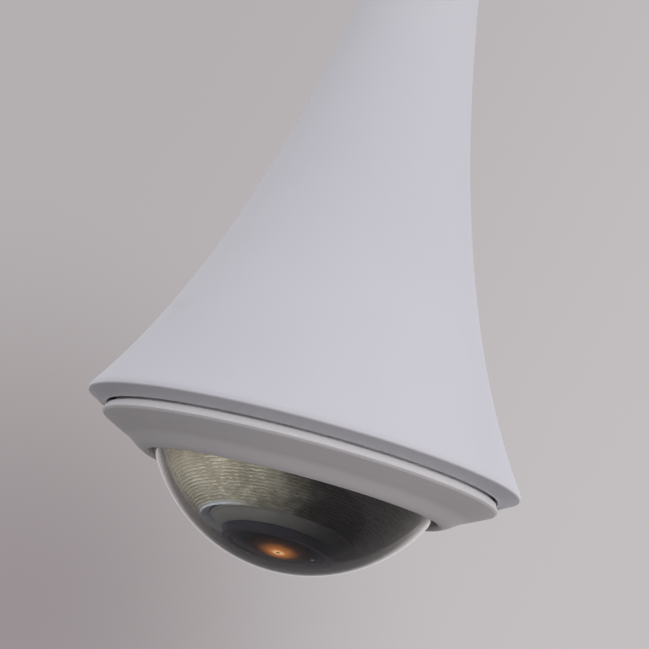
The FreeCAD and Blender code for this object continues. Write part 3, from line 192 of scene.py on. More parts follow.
def ribbed_bowl_tree():
    """Outline of the eye's bowl: sawtooth ribs outside, a plain wall inside."""
    labels = ["Ribs", "Points on a rib", "Points inside"]
    sizes = ["Radius", "Nose sink", "Rib depth", "Wall", "First angle", "Last angle", "Centre"]
    inputs = {label: "Int" for label in labels}
    inputs.update({label: "Float" for label in sizes})
    inputs["Finish"] = "Material"
    sheet, ports = shape_tree("ribbed_bowl", inputs)
    ribs, on_rib, inside = [ports.other(label) for label in labels]
    radius, sink, depth, wall, first, last, centre = [ports.other(label) for label in sizes]
    outside = ribs * on_rib
    line = sheet.add("GeometryNodeMeshLine", {}, {"Count": outside + inside + 1})
    index = sheet.add("GeometryNodeInputIndex")
    is_inside = index > outside + 0.5
    share_out = (index / outside).least(1.0)
    share_in = 1.0 - (index - outside - 1.0) / (inside - 1.0)
    share = share_out * (1.0 - is_inside) + share_in * is_inside
    tooth = (index % on_rib) / on_rib
    nick = depth * (1.0 - (tooth * 2.0 - 1.0).size() ** 3.0) * (1.0 - is_inside)
    reach = radius - sink * (1.0 - share) - nick - wall * is_inside
    angle = first + (last - first) * share
    place = sheet.add("ShaderNodeCombineXYZ", {}, {
        "X": reach * angle.sine(), "Z": centre - reach * angle.cosine()})
    shaped = sheet.add("GeometryNodeSetPosition", {}, {"Geometry": line, "Position": place})
    return end_tree(sheet, shaped, ports)


def ring_tree():
    """Copies of one small piece on a circle, each turned by its own amount."""
    sheet, ports = shape_tree("ring_of_pieces", {
        "Count": "Int", "Circle": "Float", "First angle": "Float", "Seat": "Float",
        "Lean": "Float", "Spread": "Float", "Seed": "Int", "Finish": "Material"})
    circle = sheet.add("GeometryNodeMeshCircle", {}, {
        "Vertices": ports.other("Count"), "Radius": ports.other("Circle")})
    own_turn = sheet.add("FunctionNodeRandomValue", {"data_type": "FLOAT"}, {
        "Min": 0.0, "Max": ports.other("Spread"), "Seed": ports.other("Seed")}, out=1)
    index = sheet.add("GeometryNodeInputIndex")
    turn = sheet.add("ShaderNodeCombineXYZ", {}, {
        "X": ports.other("Lean"), "Z": own_turn + index / ports.other("Count") * math.tau})
    copies = sheet.add("GeometryNodeInstanceOnPoints", {}, {
        "Points": circle, "Instance": ports, "Rotation": turn})
    seat = sheet.add("ShaderNodeCombineXYZ", {}, {"Z": ports.other("Seat")})
    swing = sheet.add("ShaderNodeCombineXYZ", {}, {"Z": ports.other("First angle")})
    placed = sheet.add("GeometryNodeTransform", {}, {
        "Geometry": copies, "Translation": seat, "Rotation": swing})
    return end_tree(sheet, placed, ports)


def thread_tree():
    """A helical ridge, as left in a bore by a tap."""
    sheet, ports = shape_tree("thread", {
        "Radius": "Float", "Height": "Float", "Turns": "Float", "Ridge": "Float",
        "Finish": "Material"})
    helix = sheet.add("GeometryNodeCurveSpiral", {}, {
        "Resolution": 72, "Rotations": ports.other("Turns"), "Height": ports.other("Height"),
        "Start Radius": ports.other("Radius"), "End Radius": ports.other("Radius")})
    section = sheet.add("GeometryNodeCurvePrimitiveCircle", {}, {
        "Resolution": 4, "Radius": ports.other("Ridge")})
    ridge = sheet.add("GeometryNodeCurveToMesh", {}, {
        "Curve": helix, "Profile Curve": section, "Fill Caps": True})
    return end_tree(sheet, ridge, ports)


LATHE, RIBBED_BOWL, RING, THREAD = lathe_tree(), ribbed_bowl_tree(), ring_tree(), thread_tree()


def put(name, data):
    """A new object in the scene."""
    thing = bpy.data.objects.new(name, data)
    bpy.context.scene.collection.objects.link(thing)
    return thing


def evaluated(thing):
    """A mesh of the object as its modifiers leave it."""
    seen = thing.evaluated_get(bpy.context.evaluated_depsgraph_get())
    return bpy.data.meshes.new_from_object(seen)


def shaped(mesh, tree, **sizes):
    """The plain mesh that a tree makes of a mesh with these inputs, in metres."""
    piece = put("blank", mesh)
    modifier = piece.modifiers.new("shape", "NODES")
    modifier.node_group = tree
    for item in tree.interface.items_tree:
        key = item.name.lower().replace(" ", "_")
        if item.in_out == "INPUT" and key in sizes:
            modifier[item.identifier] = sizes[key]
    result = evaluated(piece)
    bpy.data.objects.remove(piece)
    return result


def blank():
    return bpy.data.meshes.new("blank")


def scaled(mesh, factor):
    mesh.transform(Matrix.Scale(factor, 4))
    return mesh


def to_frame(mesh, aimed=False):
    """Millimetres above the lip, as drawn, to metres in the part's frame."""
    if aimed:
        centre = Matrix.Translation((0, 0, DOME_CENTRE))
        mesh.transform(centre @ Matrix.Rotation(-AIM_TILT, 4, "X") @ centre.inverted())
    mesh.transform(Matrix.Scale(1 / MM, 4) @ Matrix.Translation((0, 0, -LIP_HEIGHT)))


def outward(mesh):
    """Turns every face to look outward."""
    work = bmesh.new()
    work.from_mesh(mesh)
    bmesh.ops.recalc_face_normals(work, faces=work.faces)
    work.to_mesh(mesh)
    work.free()


def finished(name, mesh, slot, body, stands_for=(), crease=32.0):
    """Makes a mesh a piece of the camera, smooth but for edges above the crease in degrees."""
    outward(mesh)
    mesh.shade_smooth()
    mesh.set_sharp_from_angle(angle=math.radians(crease))
    mesh.name = name
    mesh.materials.clear()
    mesh.materials.append(FINISHES[slot])
    piece = put(name, mesh)
    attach(piece, body)
    if stands_for:
        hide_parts(*stands_for)
    return piece


def points_mesh(points):
    mesh = bpy.data.meshes.new("outline")
    mesh.from_pydata([(r, 0.0, z) for r, z in points], [], [])
    return mesh


def spun(outline, steps=256, closed=True):
    """Mesh of a turned solid in millimetres; an outline that ends on the axis isn't closed."""
    rows = len(outline) + (1 if closed else 0)
    small = points_mesh([(r / MM, z / MM) for r, z in outline])
    return scaled(shaped(small, LATHE, points=len(outline), rows=rows, steps=steps), MM)


def turned(name, outline, slot, body, stands_for, aimed=False, closed=True, steps=256):
    """A turned piece of the camera."""
    mesh = spun(outline, steps, closed)
    to_frame(mesh, aimed)
    return finished(name, mesh, slot, body, stands_for)


# ---- outlines ----------------------------------------------------------
def horn_r(z):
    """Outer radius of the shroud at a height."""
    return LIP_R * math.exp(-z / HORN_RATE - FLARE * (1 - math.exp(-z / FLARE_HEIGHT)))


def horn_bore_r(z):
    slope = horn_r(z) * (1 / HORN_RATE + FLARE / FLARE_HEIGHT * math.exp(-z / FLARE_HEIGHT))
    return horn_r(z) - SHROUD_WALL * math.hypot(1, slope)


def spread(low, high, count):
    return [low + (high - low) * i / (count - 1) for i in range(count)]


def flowing(points, between=6):
    """A smooth row of points through a few."""
    ends = [points[0]] + list(points) + [points[-1]]
    row = []
    for a, b, c, d in zip(ends, ends[1:], ends[2:], ends[3:]):
        for i in range(between):
            t = i / between
            row.append(tuple(
                0.5 * (2 * q + (r - p) * t + (2 * p - 5 * q + 4 * r - s) * t * t
                       + (3 * q - p - 3 * r + s) * t ** 3) for p, q, r, s in zip(a, b, c, d)))
    return row + [tuple(points[-1])]


def from_centre(reach, angle):
    """(radius, height) of a point seen from the dome's centre; angle 0 is straight down."""
    return reach * math.sin(angle), DOME_CENTRE - reach * math.cos(angle)


def opening_r(z):
    """Radius of the bezel's opening, a gap away from the dome."""
    return math.sqrt(DOME_R ** 2 - (DOME_CENTRE - z) ** 2) + OPENING_GAP


def depth(distance):
    """Height of a point this far below the dome's centre."""
    return DOME_CENTRE - distance


def cap_arc(radius, edge, bulge, count, inward=True):
    """Points of a lens face from its rim to the axis."""
    sphere = (radius ** 2 + bulge ** 2) / (2 * bulge)
    row = []
    for i in range(count + 1):
        r = radius * (1 - i / count)
        rise = math.sqrt(sphere ** 2 - r * r) - (sphere - bulge)
        row.append((r, depth(edge + rise)))
    return row if inward else row[::-1]


# ---- finishes ----------------------------------------------------------
FINISHES = {}


def linear(red, green, blue):
    """Screen levels out of 255 as light."""
    return tuple((c / 255 / 12.92) if c / 255 < 0.04045 else ((c / 255 + 0.055) / 1.055) ** 2.4
                 for c in (red, green, blue))


class Paint(Sheet):
    """A material sheet with the few patterns that these finishes share."""

    def __init__(self, slot, **constants):
        material = bpy.data.materials.new(slot)
        material.use_nodes = True
        super().__init__(material.node_tree)
        FINISHES[slot] = material
        self.place = self.add("ShaderNodeTexCoord", out=3)
        self.shader = self.add("ShaderNodeBsdfPrincipled")
        self.inputs = self.shader.socket.node.inputs
        for name, value in constants.items():
            label = name.replace("_", " ").title().replace("Ior", "IOR")
            self.inputs[label].default_value = value
        self.out = self.add("ShaderNodeOutputMaterial", {}, {"Surface": self.shader})

    def aimed(self):
        """Coordinates turned so that the lens looks straight down from the dome's centre."""
        centre = Vector((0, 0, (LIP_HEIGHT - DOME_CENTRE) / MM))
        return self.add("ShaderNodeMapping", {"vector_type": "POINT"}, {
            "Vector": self.place, "Location": Matrix.Rotation(AIM_TILT, 3, "X") @ centre,
            "Rotation": (AIM_TILT, 0.0, 0.0)})

    def noise(self, size, detail=2.0, roughness=0.5, place=None):
        """Cloudy values 0 to 1 with patches of about this size in metres."""
        return self.add("ShaderNodeTexNoise", {}, {
            "Vector": place or self.place, "Scale": 1.0 / size,
            "Detail": detail, "Roughness": roughness})

    def cells(self, size, feature="F1", out="Distance", randomness=1.0):
        """Distances or colours of scattered cells of about this size in metres."""
        return self.add("ShaderNodeTexVoronoi", {"feature": feature}, {
            "Vector": self.place, "Scale": 1.0 / size, "Randomness": randomness}).other(out)

    def parts(self, place=None):
        """A place's x, y and z."""
        split = self.add("ShaderNodeSeparateXYZ", {}, {0: place or self.place})
        return split, split.other("Y"), split.other("Z")

    def drive(self, name, wire):
        self.tree.links.new(wire.socket, self.inputs[name])

    def relief(self, height, distance):
        """Bump from a height 0 to 1 that stands this many metres proud."""
        self.drive("Normal", self.add("ShaderNodeBump", {}, {
            "Height": height, "Distance": distance, "Strength": 1.0}))


def moulded(slot, colour, second, roughness, grain=0.0006, height=0.00002):
    """Moulded plastic or stove paint: fine grain, slow tint changes, a little dust."""
    paint = Paint(slot)
    tint = paint.noise(0.03, 3.0)
    grit = paint.noise(grain, 2.0, 0.6)
    specks = paint.cells(0.011).rise(0.045, 0.03) * (paint.noise(0.02) > 0.56)
    colours = paint.mix(tint.rise(0.35, 0.65), colour, second)
    dirt = tuple(c * 0.35 for c in colour)
    paint.drive("Base Color", paint.mix(specks * 0.35, colours, dirt))
    paint.drive("Roughness", (roughness - 0.05) + tint * 0.06 + grit * 0.05)
    paint.relief(grit, height)


def metal(slot, colour, second, roughness, grain=0.0012, height=0.000006):
    """Turned or drawn metal: hairlines round the axis, faint stains."""
    paint = Paint(slot, metallic=1.0)
    x, y, z = paint.parts()
    reach = (x * x + y * y).root()
    lines = paint.add("ShaderNodeCombineXYZ", {}, {"X": reach * 6.0, "Y": z * 6.0, "Z": x * 0.3})
    hair = paint.noise(grain, 3.0, 0.6, lines)
    stain = paint.noise(0.012, 4.0, 0.6)
    paint.drive("Base Color", paint.mix(stain.rise(0.35, 0.7), colour, second))
    paint.drive("Roughness", roughness - 0.08 + hair * 0.12 + stain * 0.08)
    paint.relief(hair, height)


def shroud_white():
    """Bluish white stove enamel with orange peel, two or three pin marks and faint scuffs."""
    paint = Paint("shroud_white", coat_weight=0.12, coat_roughness=0.25)
    tint = paint.noise(0.09, 3.0)
    orange_peel = paint.noise(0.0022, 2.0, 0.5)
    grit = paint.noise(0.0004, 2.0)
    pin = paint.cells(0.034).rise(0.022, 0.014) * (paint.cells(0.034, out="Color") > 0.6)
    scuffs = paint.noise(0.05, 5.0, 0.65).rise(0.62, 0.75)
    colours = paint.mix(tint.rise(0.3, 0.7), (0.735, 0.73, 0.775), (0.765, 0.76, 0.795))
    colours = paint.mix(pin * 0.6, colours, (0.16, 0.14, 0.13))
    paint.drive("Base Color", paint.mix(scuffs * 0.1, colours, (0.62, 0.6, 0.6)))
    paint.drive("Roughness", 0.40 + tint * 0.06 + grit * 0.05 + scuffs * 0.08)
    paint.relief(orange_peel * 0.7 + grit * 0.3, 0.000025)


def trim_white():
    """Warm white moulding, glossier along its upright band, whose colour is painted near white there
    as a painted highlight.
    """
    paint = Paint("trim_white")
    tint = paint.noise(0.05, 3.0)
    grain = paint.noise(0.0007, 3.0, 0.6)
    dust = paint.noise(0.006, 5.0, 0.7).rise(0.55, 0.8) * 0.12
    colours = paint.mix(tint.rise(0.3, 0.7), (0.735, 0.72, 0.725), (0.765, 0.745, 0.745))
    colours = paint.mix(dust, colours, (0.5, 0.46, 0.44))
    band_low = (BAND_TOP - BAND - LIP_HEIGHT) / MM
    # Painted highlight: the upright band's colour is painted near white.
    band = paint.parts()[2].rise(band_low - 0.00025, band_low + 0.00005)
    paint.drive("Base Color", paint.mix(band, colours, (0.93, 0.92, 0.93)))
    paint.drive("Roughness", 0.42 + tint * 0.08 + grain * 0.06 - band * 0.12)
    paint.relief(grain, 0.00002)


def eye_grey():
    """Olive-grey ribs with painted highlights along their crests on the left, painted shade near the
    bezel, and painted shade near black on the right.
    """
    paint = Paint("eye_grey", specular_ior_level=0.35)
    x, y, z = paint.parts(paint.aimed())
    from_axis = (x * x + y * y).root()
    angle = from_axis.sums("ARCTAN2", from_axis, z * -1.0)
    share = (angle - math.radians(RIB_FIRST)) / math.radians(RIB_LAST - RIB_FIRST)
    wander = paint.noise(0.0075, 3.0, 0.6)
    # Painted highlight: right of this line the crest highlights wobble more and break up into glints.
    highlight_breakup = x.rise(-0.040, -0.018)
    wobble = (paint.noise(0.0036, 2.0, 0.55) - 0.5) * (0.5 + highlight_breakup * 2.6)
    tooth = (share * RIBS + wobble) % 1.0
    # Painted highlight: pale crest lines, which also set the bump and a glossier roughness.
    crest = (tooth * 2.0 - 1.0).size() ** 4.0
    # Painted highlight: glint specks that keep parts of the crest highlight where it breaks up.
    glints = paint.noise(0.0017, 3.0, 0.7).rise(0.40, 0.62)
    crest = crest * (1.0 - highlight_breakup * 0.55 * (1.0 - glints))
    # Painted shade: the ribs go near black towards the right.
    shade = (x + (wander - 0.5) * 0.022).rise(-0.026, 0.014)
    # Painted shade: a darker brownish tone near the bezel on the upper left.
    painted_bezel_shade = (z + (wander - 0.5) * 0.010).rise(-0.0365, -0.029) * x.rise(-0.026, -0.038)
    # Painted highlight: a bluish white edge along the bevel on the left.
    bevel = share.rise(0.055, 0.005) * x.rise(-0.010, -0.024)
    ground = paint.mix(wander.rise(0.35, 0.65), (0.50, 0.495, 0.42), (0.38, 0.37, 0.305))
    ground = paint.mix(painted_bezel_shade * 0.6, ground, (0.20, 0.145, 0.105))
    ground = paint.mix(crest * (1.0 - painted_bezel_shade * 0.5), ground, (0.95, 0.94, 0.83))
    ground = paint.mix(bevel, ground, (0.80, 0.88, 1.0))
    paint.drive("Base Color", paint.mix(shade, ground, (0.018, 0.017, 0.018)))
    paint.drive("Roughness", 0.36 + glints * 0.12 - crest * 0.10)
    paint.relief(crest * 0.6 + glints * 0.4, 0.00012)


def collar_grey():
    """Smooth grey cone with painted shade on the right."""
    paint = Paint("collar_grey", specular_ior_level=0.3)
    x = paint.parts(paint.aimed())[0]
    grain = paint.noise(0.0008, 3.0)
    tint = paint.noise(0.01, 3.0)
    # Painted shade: the cone darkens towards the right.
    shade = (x + (tint - 0.5) * 0.01).rise(-0.012, 0.022)
    left = paint.mix(tint.rise(0.3, 0.7), (0.33, 0.335, 0.335), (0.27, 0.285, 0.31))
    paint.drive("Base Color", paint.mix(shade, left, (0.06, 0.06, 0.062)))
    paint.drive("Roughness", 0.36 + grain * 0.1)
    paint.relief(grain, 0.000012)


def barrel_black():
    """Black anodised metal with a painted violet sheen where it is seen at a grazing angle."""
    paint = Paint("barrel_black", specular_ior_level=0.35)
    tint = paint.noise(0.006, 3.0)
    hair = paint.noise(0.0006, 2.0)
    # Painted sheen: the colour turns violet towards edges seen at a grazing angle.
    cast = paint.add("ShaderNodeLayerWeight", {}, {"Blend": 0.35}).other("Facing")
    colours = paint.mix(tint.rise(0.3, 0.7), (0.075, 0.075, 0.100), (0.10, 0.098, 0.135))
    paint.drive("Base Color", paint.mix(cast.rise(0.4, 1.0) * 0.7, colours, (0.22, 0.21, 0.34)))
    paint.drive("Roughness", 0.30 + hair * 0.12)
    paint.relief(hair, 0.000008)


def coated_glass():
    """Nearly black coated glass with a painted orange glow, standing in for light deep in the lens
    and set off its axis by parallax, and a painted white glint.
    """
    paint = Paint("coated_glass", emission_strength=1.0, specular_ior_level=0.12)
    x, y, _ = paint.parts(paint.aimed())
    # The painted glow is set off the lens axis, as light deep in the lens would show by parallax.
    x, y = x - 0.0008, y + 0.0052
    across = (x * x + y * y).root()
    wave = paint.noise(0.003, 3.0, 0.6)
    off = across + (wave - 0.5) * 0.0022
    # Painted glow: orange emission with a dark pupil, though the glass is no lamp.
    glow = off.rise(0.0090, 0.0006)
    core = off.rise(0.0030, 0.0008)
    pupil = across.rise(0.0010, 0.0004)
    halo = off.rise(0.0120, 0.0045)
    painted_glow_colour = paint.mix(halo, (0.0, 0.0, 0.0), (0.15, 0.055, 0.020))
    painted_glow_colour = paint.mix(glow ** 1.5, painted_glow_colour, (2.3, 0.78, 0.18))
    painted_glow_colour = paint.mix(core, painted_glow_colour, (3.6, 2.1, 1.0))
    painted_glow_colour = paint.mix(pupil, painted_glow_colour, (0.05, 0.025, 0.015))
    # Painted highlight: a small white glint to the right of the glow.
    from_painted_glint = ((x - 0.0125) * (x - 0.0125) + (y - 0.004) * (y - 0.004)).root()
    painted_glint = from_painted_glint.rise(0.0007, 0.0003)
    paint.drive("Emission Color", paint.mix(painted_glint, painted_glow_colour, (1.2, 1.2, 1.25)))
    rim = across.rise(0.010, 0.020)
    body = paint.mix(rim, (0.045, 0.044, 0.047), (0.10, 0.10, 0.14))
    paint.drive("Base Color", paint.mix(wave.rise(0.5, 0.8) * 0.3, body, (0.03, 0.016, 0.04)))
    paint.drive("Roughness", 0.06 + wave * 0.03)
    paint.relief(wave, 0.000004)


def clear(slot, colour, second, roughness=0.0, ior=1.5, wave=0.02, height=0.000004, dust=0.04,
          painted_shade_tint=None):
    """Clear solid that bends the view and lets the lamps through to what it covers.

    The painted shade tint is a pair: the heights between which it deepens towards the bottom, and its
    colour; it is weaker on the left.
    """
    paint = Paint(slot, transmission_weight=1.0, ior=ior)
    ripple = paint.noise(wave, 2.0)
    dusty = paint.noise(0.004, 5.0, 0.7).rise(0.55, 0.8)
    tone = paint.mix(ripple.rise(0.3, 0.7), colour, second)
    if painted_shade_tint:
        # Painted shade: the tint darkens towards the bottom, less on the left.
        heights, painted_shade_tint_colour = painted_shade_tint
        x, _, z = paint.parts()
        tone = paint.mix(z.rise(*heights) * (0.35 + x.rise(-0.042, -0.010) * 0.65), tone, painted_shade_tint_colour)
    paint.drive("Base Color", tone)
    paint.drive("Roughness", roughness + dusty * dust)
    paint.relief(ripple, height)
    lamp_ray = paint.add("ShaderNodeLightPath").other("Is Shadow Ray")
    through = paint.add("ShaderNodeBsdfTransparent", {}, {"Color": (0.96, 0.96, 0.96, 1.0)})
    both = paint.add("ShaderNodeMixShader", {}, {0: lamp_ray, 1: paint.shader, 2: through})
    paint.tree.links.new(both.socket, paint.out.inputs["Surface"])


def circuit_board():
    """Green solder mask over copper tracks, with bare gold pads."""
    paint = Paint("circuit_board", coat_weight=0.4, coat_roughness=0.12)
    tracks = paint.cells(0.0045, "DISTANCE_TO_EDGE", randomness=0.55).rise(0.09, 0.05)
    pads = paint.cells(0.0035, randomness=0.25).rise(0.2, 0.16) * (paint.noise(0.012) > 0.55)
    weave = paint.noise(0.0005, 2.0)
    green = paint.mix(tracks, (0.012, 0.09, 0.035), (0.03, 0.16, 0.06))
    paint.drive("Base Color", paint.mix(pads, green, (0.75, 0.52, 0.2)))
    paint.drive("Metallic", pads * 0.9)
    paint.drive("Roughness", 0.34 + weave * 0.1 - pads * 0.08)
    paint.relief(tracks * 0.5 + pads * 0.5 + weave * 0.05, 0.00003)


def sensor_chip():
    """Dark silicon with a fine grid of cells under glass."""
    paint = Paint("sensor_chip", coat_weight=0.8, coat_roughness=0.05)
    x, y, _ = paint.parts()
    cells = ((x * 9000.0).sine() * (y * 9000.0).sine()) * 0.5 + 0.5
    sheen = paint.noise(0.004, 2.0)
    paint.drive("Base Color", paint.mix(sheen.rise(0.3, 0.7), (0.03, 0.03, 0.09), (0.07, 0.03, 0.08)))
    paint.drive("Metallic", 0.5 + cells * 0.2)
    paint.drive("Roughness", 0.2 + cells * 0.06)
    paint.relief(cells, 0.000003)


shroud_white()
trim_white()
moulded("base_white", (0.66, 0.66, 0.65), (0.60, 0.60, 0.60), 0.5, 0.0008, 0.00003)
metal("cast_grey", (0.50, 0.51, 0.52), (0.40, 0.41, 0.43), 0.5, grain=0.004, height=0.00004)
metal("zinc_steel", (0.62, 0.62, 0.58), (0.52, 0.54, 0.58), 0.34)
metal("screw_steel", (0.58, 0.58, 0.58), (0.42, 0.42, 0.44), 0.3)
metal("spring_steel", (0.66, 0.66, 0.67), (0.50, 0.47, 0.42), 0.22)
moulded("seal_rubber", (0.035, 0.035, 0.036), (0.05, 0.05, 0.05), 0.75, 0.0009, 0.00003)
circuit_board()
moulded("black_moulding", (0.022, 0.022, 0.024), (0.034, 0.034, 0.036), 0.5, 0.0005, 0.00002)
metal("gold_contacts", (0.78, 0.56, 0.22), (0.62, 0.44, 0.18), 0.2)
metal("bright_shell", (0.72, 0.73, 0.74), (0.6, 0.61, 0.63), 0.25)
moulded("button_white", (0.8, 0.8, 0.77), (0.74, 0.74, 0.71), 0.3)
moulded("thermal_pink", (0.66, 0.42, 0.45), (0.58, 0.36, 0.4), 0.7, 0.0007, 0.00005)
eye_grey()
collar_grey()
barrel_black()
coated_glass()
clear("lens_glass", (0.9, 0.95, 1.0), (0.85, 0.9, 1.0), ior=1.6, dust=0.01)
clear("filter_glass", (0.45, 0.85, 0.8), (0.4, 0.75, 0.78), dust=0.01)
clear("led_clear", (0.85, 0.92, 0.85), (0.8, 0.9, 0.8), 0.15, 1.49)
sensor_chip()
# The dome's tint is darkened towards its bottom and right as painted shade.
clear("dome_clear", (0.74, 0.72, 0.70), (0.71, 0.69, 0.67), ior=1.49, wave=0.03,
      height=0.0000006, dust=0.004, painted_shade_tint=((-0.206, -0.236), (0.24, 0.24, 0.24)))

for part in frame["record"]["subparts"]:
    mesh = frame["nodes"][part["node"]].data
    mesh.materials.clear()
    mesh.materials.append(FINISHES[part["material_slot"]])


# ---- shroud ------------------------------------------------------------
def pendant_shroud():
    """Horn-shaped shell with a rolled lip, a hub bore and a hole for the lock screw."""
    edge = horn_r(LIP_ROUND)
    top = horn_r(LIP_HEIGHT)
    outline = [(horn_r(z), z) for z in spread(LIP_ROUND, LIP_HEIGHT - 0.4, 110)]
    outline += [(top - 0.12, LIP_HEIGHT - 0.1), (top - 0.4, LIP_HEIGHT), (HUB_R + 0.3, LIP_HEIGHT),
                (HUB_R, LIP_HEIGHT - 0.3), (HUB_R, CEILING), (horn_bore_r(CEILING), CEILING)]
    outline += [(horn_bore_r(z), z) for z in spread(CEILING, LIP_ROUND, 60)[1:]]
    flat_r = MOUTH_R + LIP_FLAT
    outline += [(MOUTH_R, 0.3), (MOUTH_R, 0.5 - LIP_DROP), (MOUTH_R + 0.15, 0.2 - LIP_DROP),
                (MOUTH_R + 0.5, 0.05 - LIP_DROP), (flat_r, -LIP_DROP), (flat_r + 0.6, 0.1 - LIP_DROP)]
    outline += flowing([(edge - 0.9, 0.0), (edge - 0.3, 0.2), (edge + 0.1, 0.6),
                        (edge + 0.16, 1.1), (edge, LIP_ROUND)], 4)[:-1]
    shell = spun(outline, 288)
    length = 30.0
    cutter = bpy.data.meshes.new("cutter")
    work = bmesh.new()
    bmesh.ops.create_cone(work, cap_ends=True, segments=48, radius1=LOCK_SCREW_R,
                          radius2=LOCK_SCREW_R, depth=length)
    work.to_mesh(cutter)
    work.free()
    place = Matrix.Translation((0, length / 2 + HUB_R - 1.0, LIP_HEIGHT - LOCK_SCREW_DROP))
    cutter.transform(place @ Matrix.Rotation(math.pi / 2, 4, "X"))
    body, tool = put("body", shell), put("tool", cutter)
    outward(shell)
    cut = body.modifiers.new("hole", "BOOLEAN")
    cut.operation, cut.solver, cut.object = "DIFFERENCE", "EXACT", tool
    mesh = evaluated(body)
    for thing in (body, tool):
        bpy.data.objects.remove(thing)
    to_frame(mesh)
    finished("shroud_shell", mesh, "shroud_white", "pendant", ["pendant_shroud"])


def horn_height(radius):
    """Height at which the middle of the shroud's wall has this radius."""
    low, high = 0.0, LIP_HEIGHT
    for _ in range(30):
        middle = (low + high) / 2
        if horn_r(middle) - SHROUD_WALL / 2 > radius:
            low = middle
        else:
            high = middle
    return low


def shroud_bosses():
    """Three posts for the plate screws, running up into the shroud's wall."""
    blank_top = 8.0
    one = spun([(BOSS_BORE_R, 0.0), (BOSS_R - 0.3, 0.0), (BOSS_R, 0.3), (BOSS_R, blank_top),
                (BOSS_BORE_R, blank_top)], 48)
    for v in one.vertices:
        if v.co.z > blank_top / 2:
            v.co.z = horn_height(math.hypot(v.co.x + BOSS_CIRCLE_R, v.co.y)) - PLATE_TOP
    mesh = shaped(scaled(one, 1 / MM), RING, count=3, circle=BOSS_CIRCLE_R / MM,
                  first_angle=math.radians(30), seat=PLATE_TOP / MM)
    to_frame(scaled(mesh, MM))
    finished("shroud_bosses", mesh, "shroud_white", "pendant")


def pipe_thread():
    mesh = shaped(blank(), THREAD, radius=(PIPE_R + 0.25) / MM, height=(PIPE_LENGTH - 1.5) / MM,
                  turns=10.0, ridge=0.0006)
    scaled(mesh, MM).transform(Matrix.Translation((0, 0, LIP_HEIGHT - PIPE_LENGTH + 0.8)))
    to_frame(mesh)
    finished("pipe_thread", mesh, "cast_grey", "pendant")


# ---- cover: bezel and dome ---------------------------------------------
def bezel():
    """Trim ring: a band with a fine parting groove, a hollow-curved skirt, a rolled foot."""
    band_low = BAND_TOP - BAND
    edge_r = BAND_R + BAND_FLARE
    lip_r = opening_r(OPENING)
    foot = (lip_r + 2.0, BEZEL_FOOT)
    width, drop = edge_r - foot[0], band_low - BEZEL_FOOT
    slope = BAND_FLARE / BAND
    band = [(BAND_R - 0.25, BAND_TOP), (BAND_R + 0.02, BAND_TOP - 0.12)]
    groove, groove_deep = 1.32, 0.10
    for down in (1.16, 1.24, groove, 1.40, 1.48):
        nick = groove_deep if down == groove else 0.0
        band.append((BAND_R + slope * down - nick, BAND_TOP - down))
    band += [(edge_r - 0.06, band_low + 0.22), (edge_r, band_low + 0.05),
             (edge_r - 0.1, band_low - 0.12)]
    hollow = ((0.78, 0.75), (0.58, 0.58), (0.38, 0.41), (0.13, 0.115))
    skirt = flowing([(edge_r - 0.7, band_low - 0.9)]
                    + [(foot[0] + a * width, BEZEL_FOOT + b * drop) for a, b in hollow] + [foot], 8)
    lip = flowing([foot, (lip_r + 1.2, BEZEL_FOOT + 0.02), (lip_r + 0.4, BEZEL_FOOT + 0.4),
                   (lip_r, BEZEL_FOOT + 1.5)], 5)[1:]
    outline = [(SPIGOT_R - 0.3, SPIGOT_TOP), (SPIGOT_R, SPIGOT_TOP - 0.3), (SPIGOT_R, BAND_TOP)]
    outline += band + skirt + lip
    outline += [(lip_r, OPENING), (opening_r(LEDGE), LEDGE), (SPIGOT_BORE_R, LEDGE),
                (SPIGOT_BORE_R, SPIGOT_TOP)]
    turned("bezel", outline, "trim_white", "cover", ["bezel_skirt"], steps=288)


def bubble():
    """Clear dome of even wall on a flat flange."""
    seat_r = math.sqrt(DOME_R ** 2 - (DOME_CENTRE - DOME_SEAT) ** 2)
    bore = DOME_R - DOME_WALL
    top = DOME_SEAT + DOME_FLANGE
    inside_r = math.sqrt(bore ** 2 - (DOME_CENTRE - top) ** 2)
    lean_out, lean_in = math.asin(seat_r / DOME_R), math.asin(inside_r / bore)
    outline = [from_centre(DOME_R, a) for a in spread(0.0, lean_out, 72)]
    flange_r = seat_r + DOME_FLANGE_WIDTH
    outline += [(flange_r, DOME_SEAT), (flange_r, top)]
    outline += [from_centre(bore, a) for a in spread(lean_in, 0.0, 72)]
    turned("bubble", outline, "dome_clear", "cover", ["dome_bubble"], closed=False)


# ---- eye ---------------------------------------------------------------
def ribbed_bowl():
    """Bowl of fine ribs round the lens, with a bevel along the edge of its opening."""
    first = math.radians(RIB_FIRST)
    outline = shaped(blank(), RIBBED_BOWL, ribs=RIBS, points_on_a_rib=6, points_inside=40,
                     radius=EYE_R / MM, nose_sink=RIB_SINK / MM, rib_depth=RIB_DEPTH / MM,
                     wall=EYE_WALL / MM, first_angle=first, last_angle=math.radians(RIB_LAST),
                     centre=DOME_CENTRE / MM)
    rim_r, rim_z = from_centre(EYE_R - RIB_SINK, first)
    bevel = [(EYE_OPENING_R, rim_z + 2.4), (EYE_OPENING_R, rim_z + EYE_BEVEL),
             (rim_r - 0.5, rim_z + 0.12)]
    work = bmesh.new()
    work.from_mesh(outline)
    for r, z in bevel:
        work.verts.new((r / MM, 0, z / MM))
    work.to_mesh(outline)
    work.free()
    count = len(outline.vertices)
    mesh = scaled(shaped(outline, LATHE, points=count, rows=count + 1, steps=256), MM)
    to_frame(mesh, aimed=True)
    return finished("ribbed_bowl", mesh, "eye_grey", "eye", ["eye_shell"], 40.0)


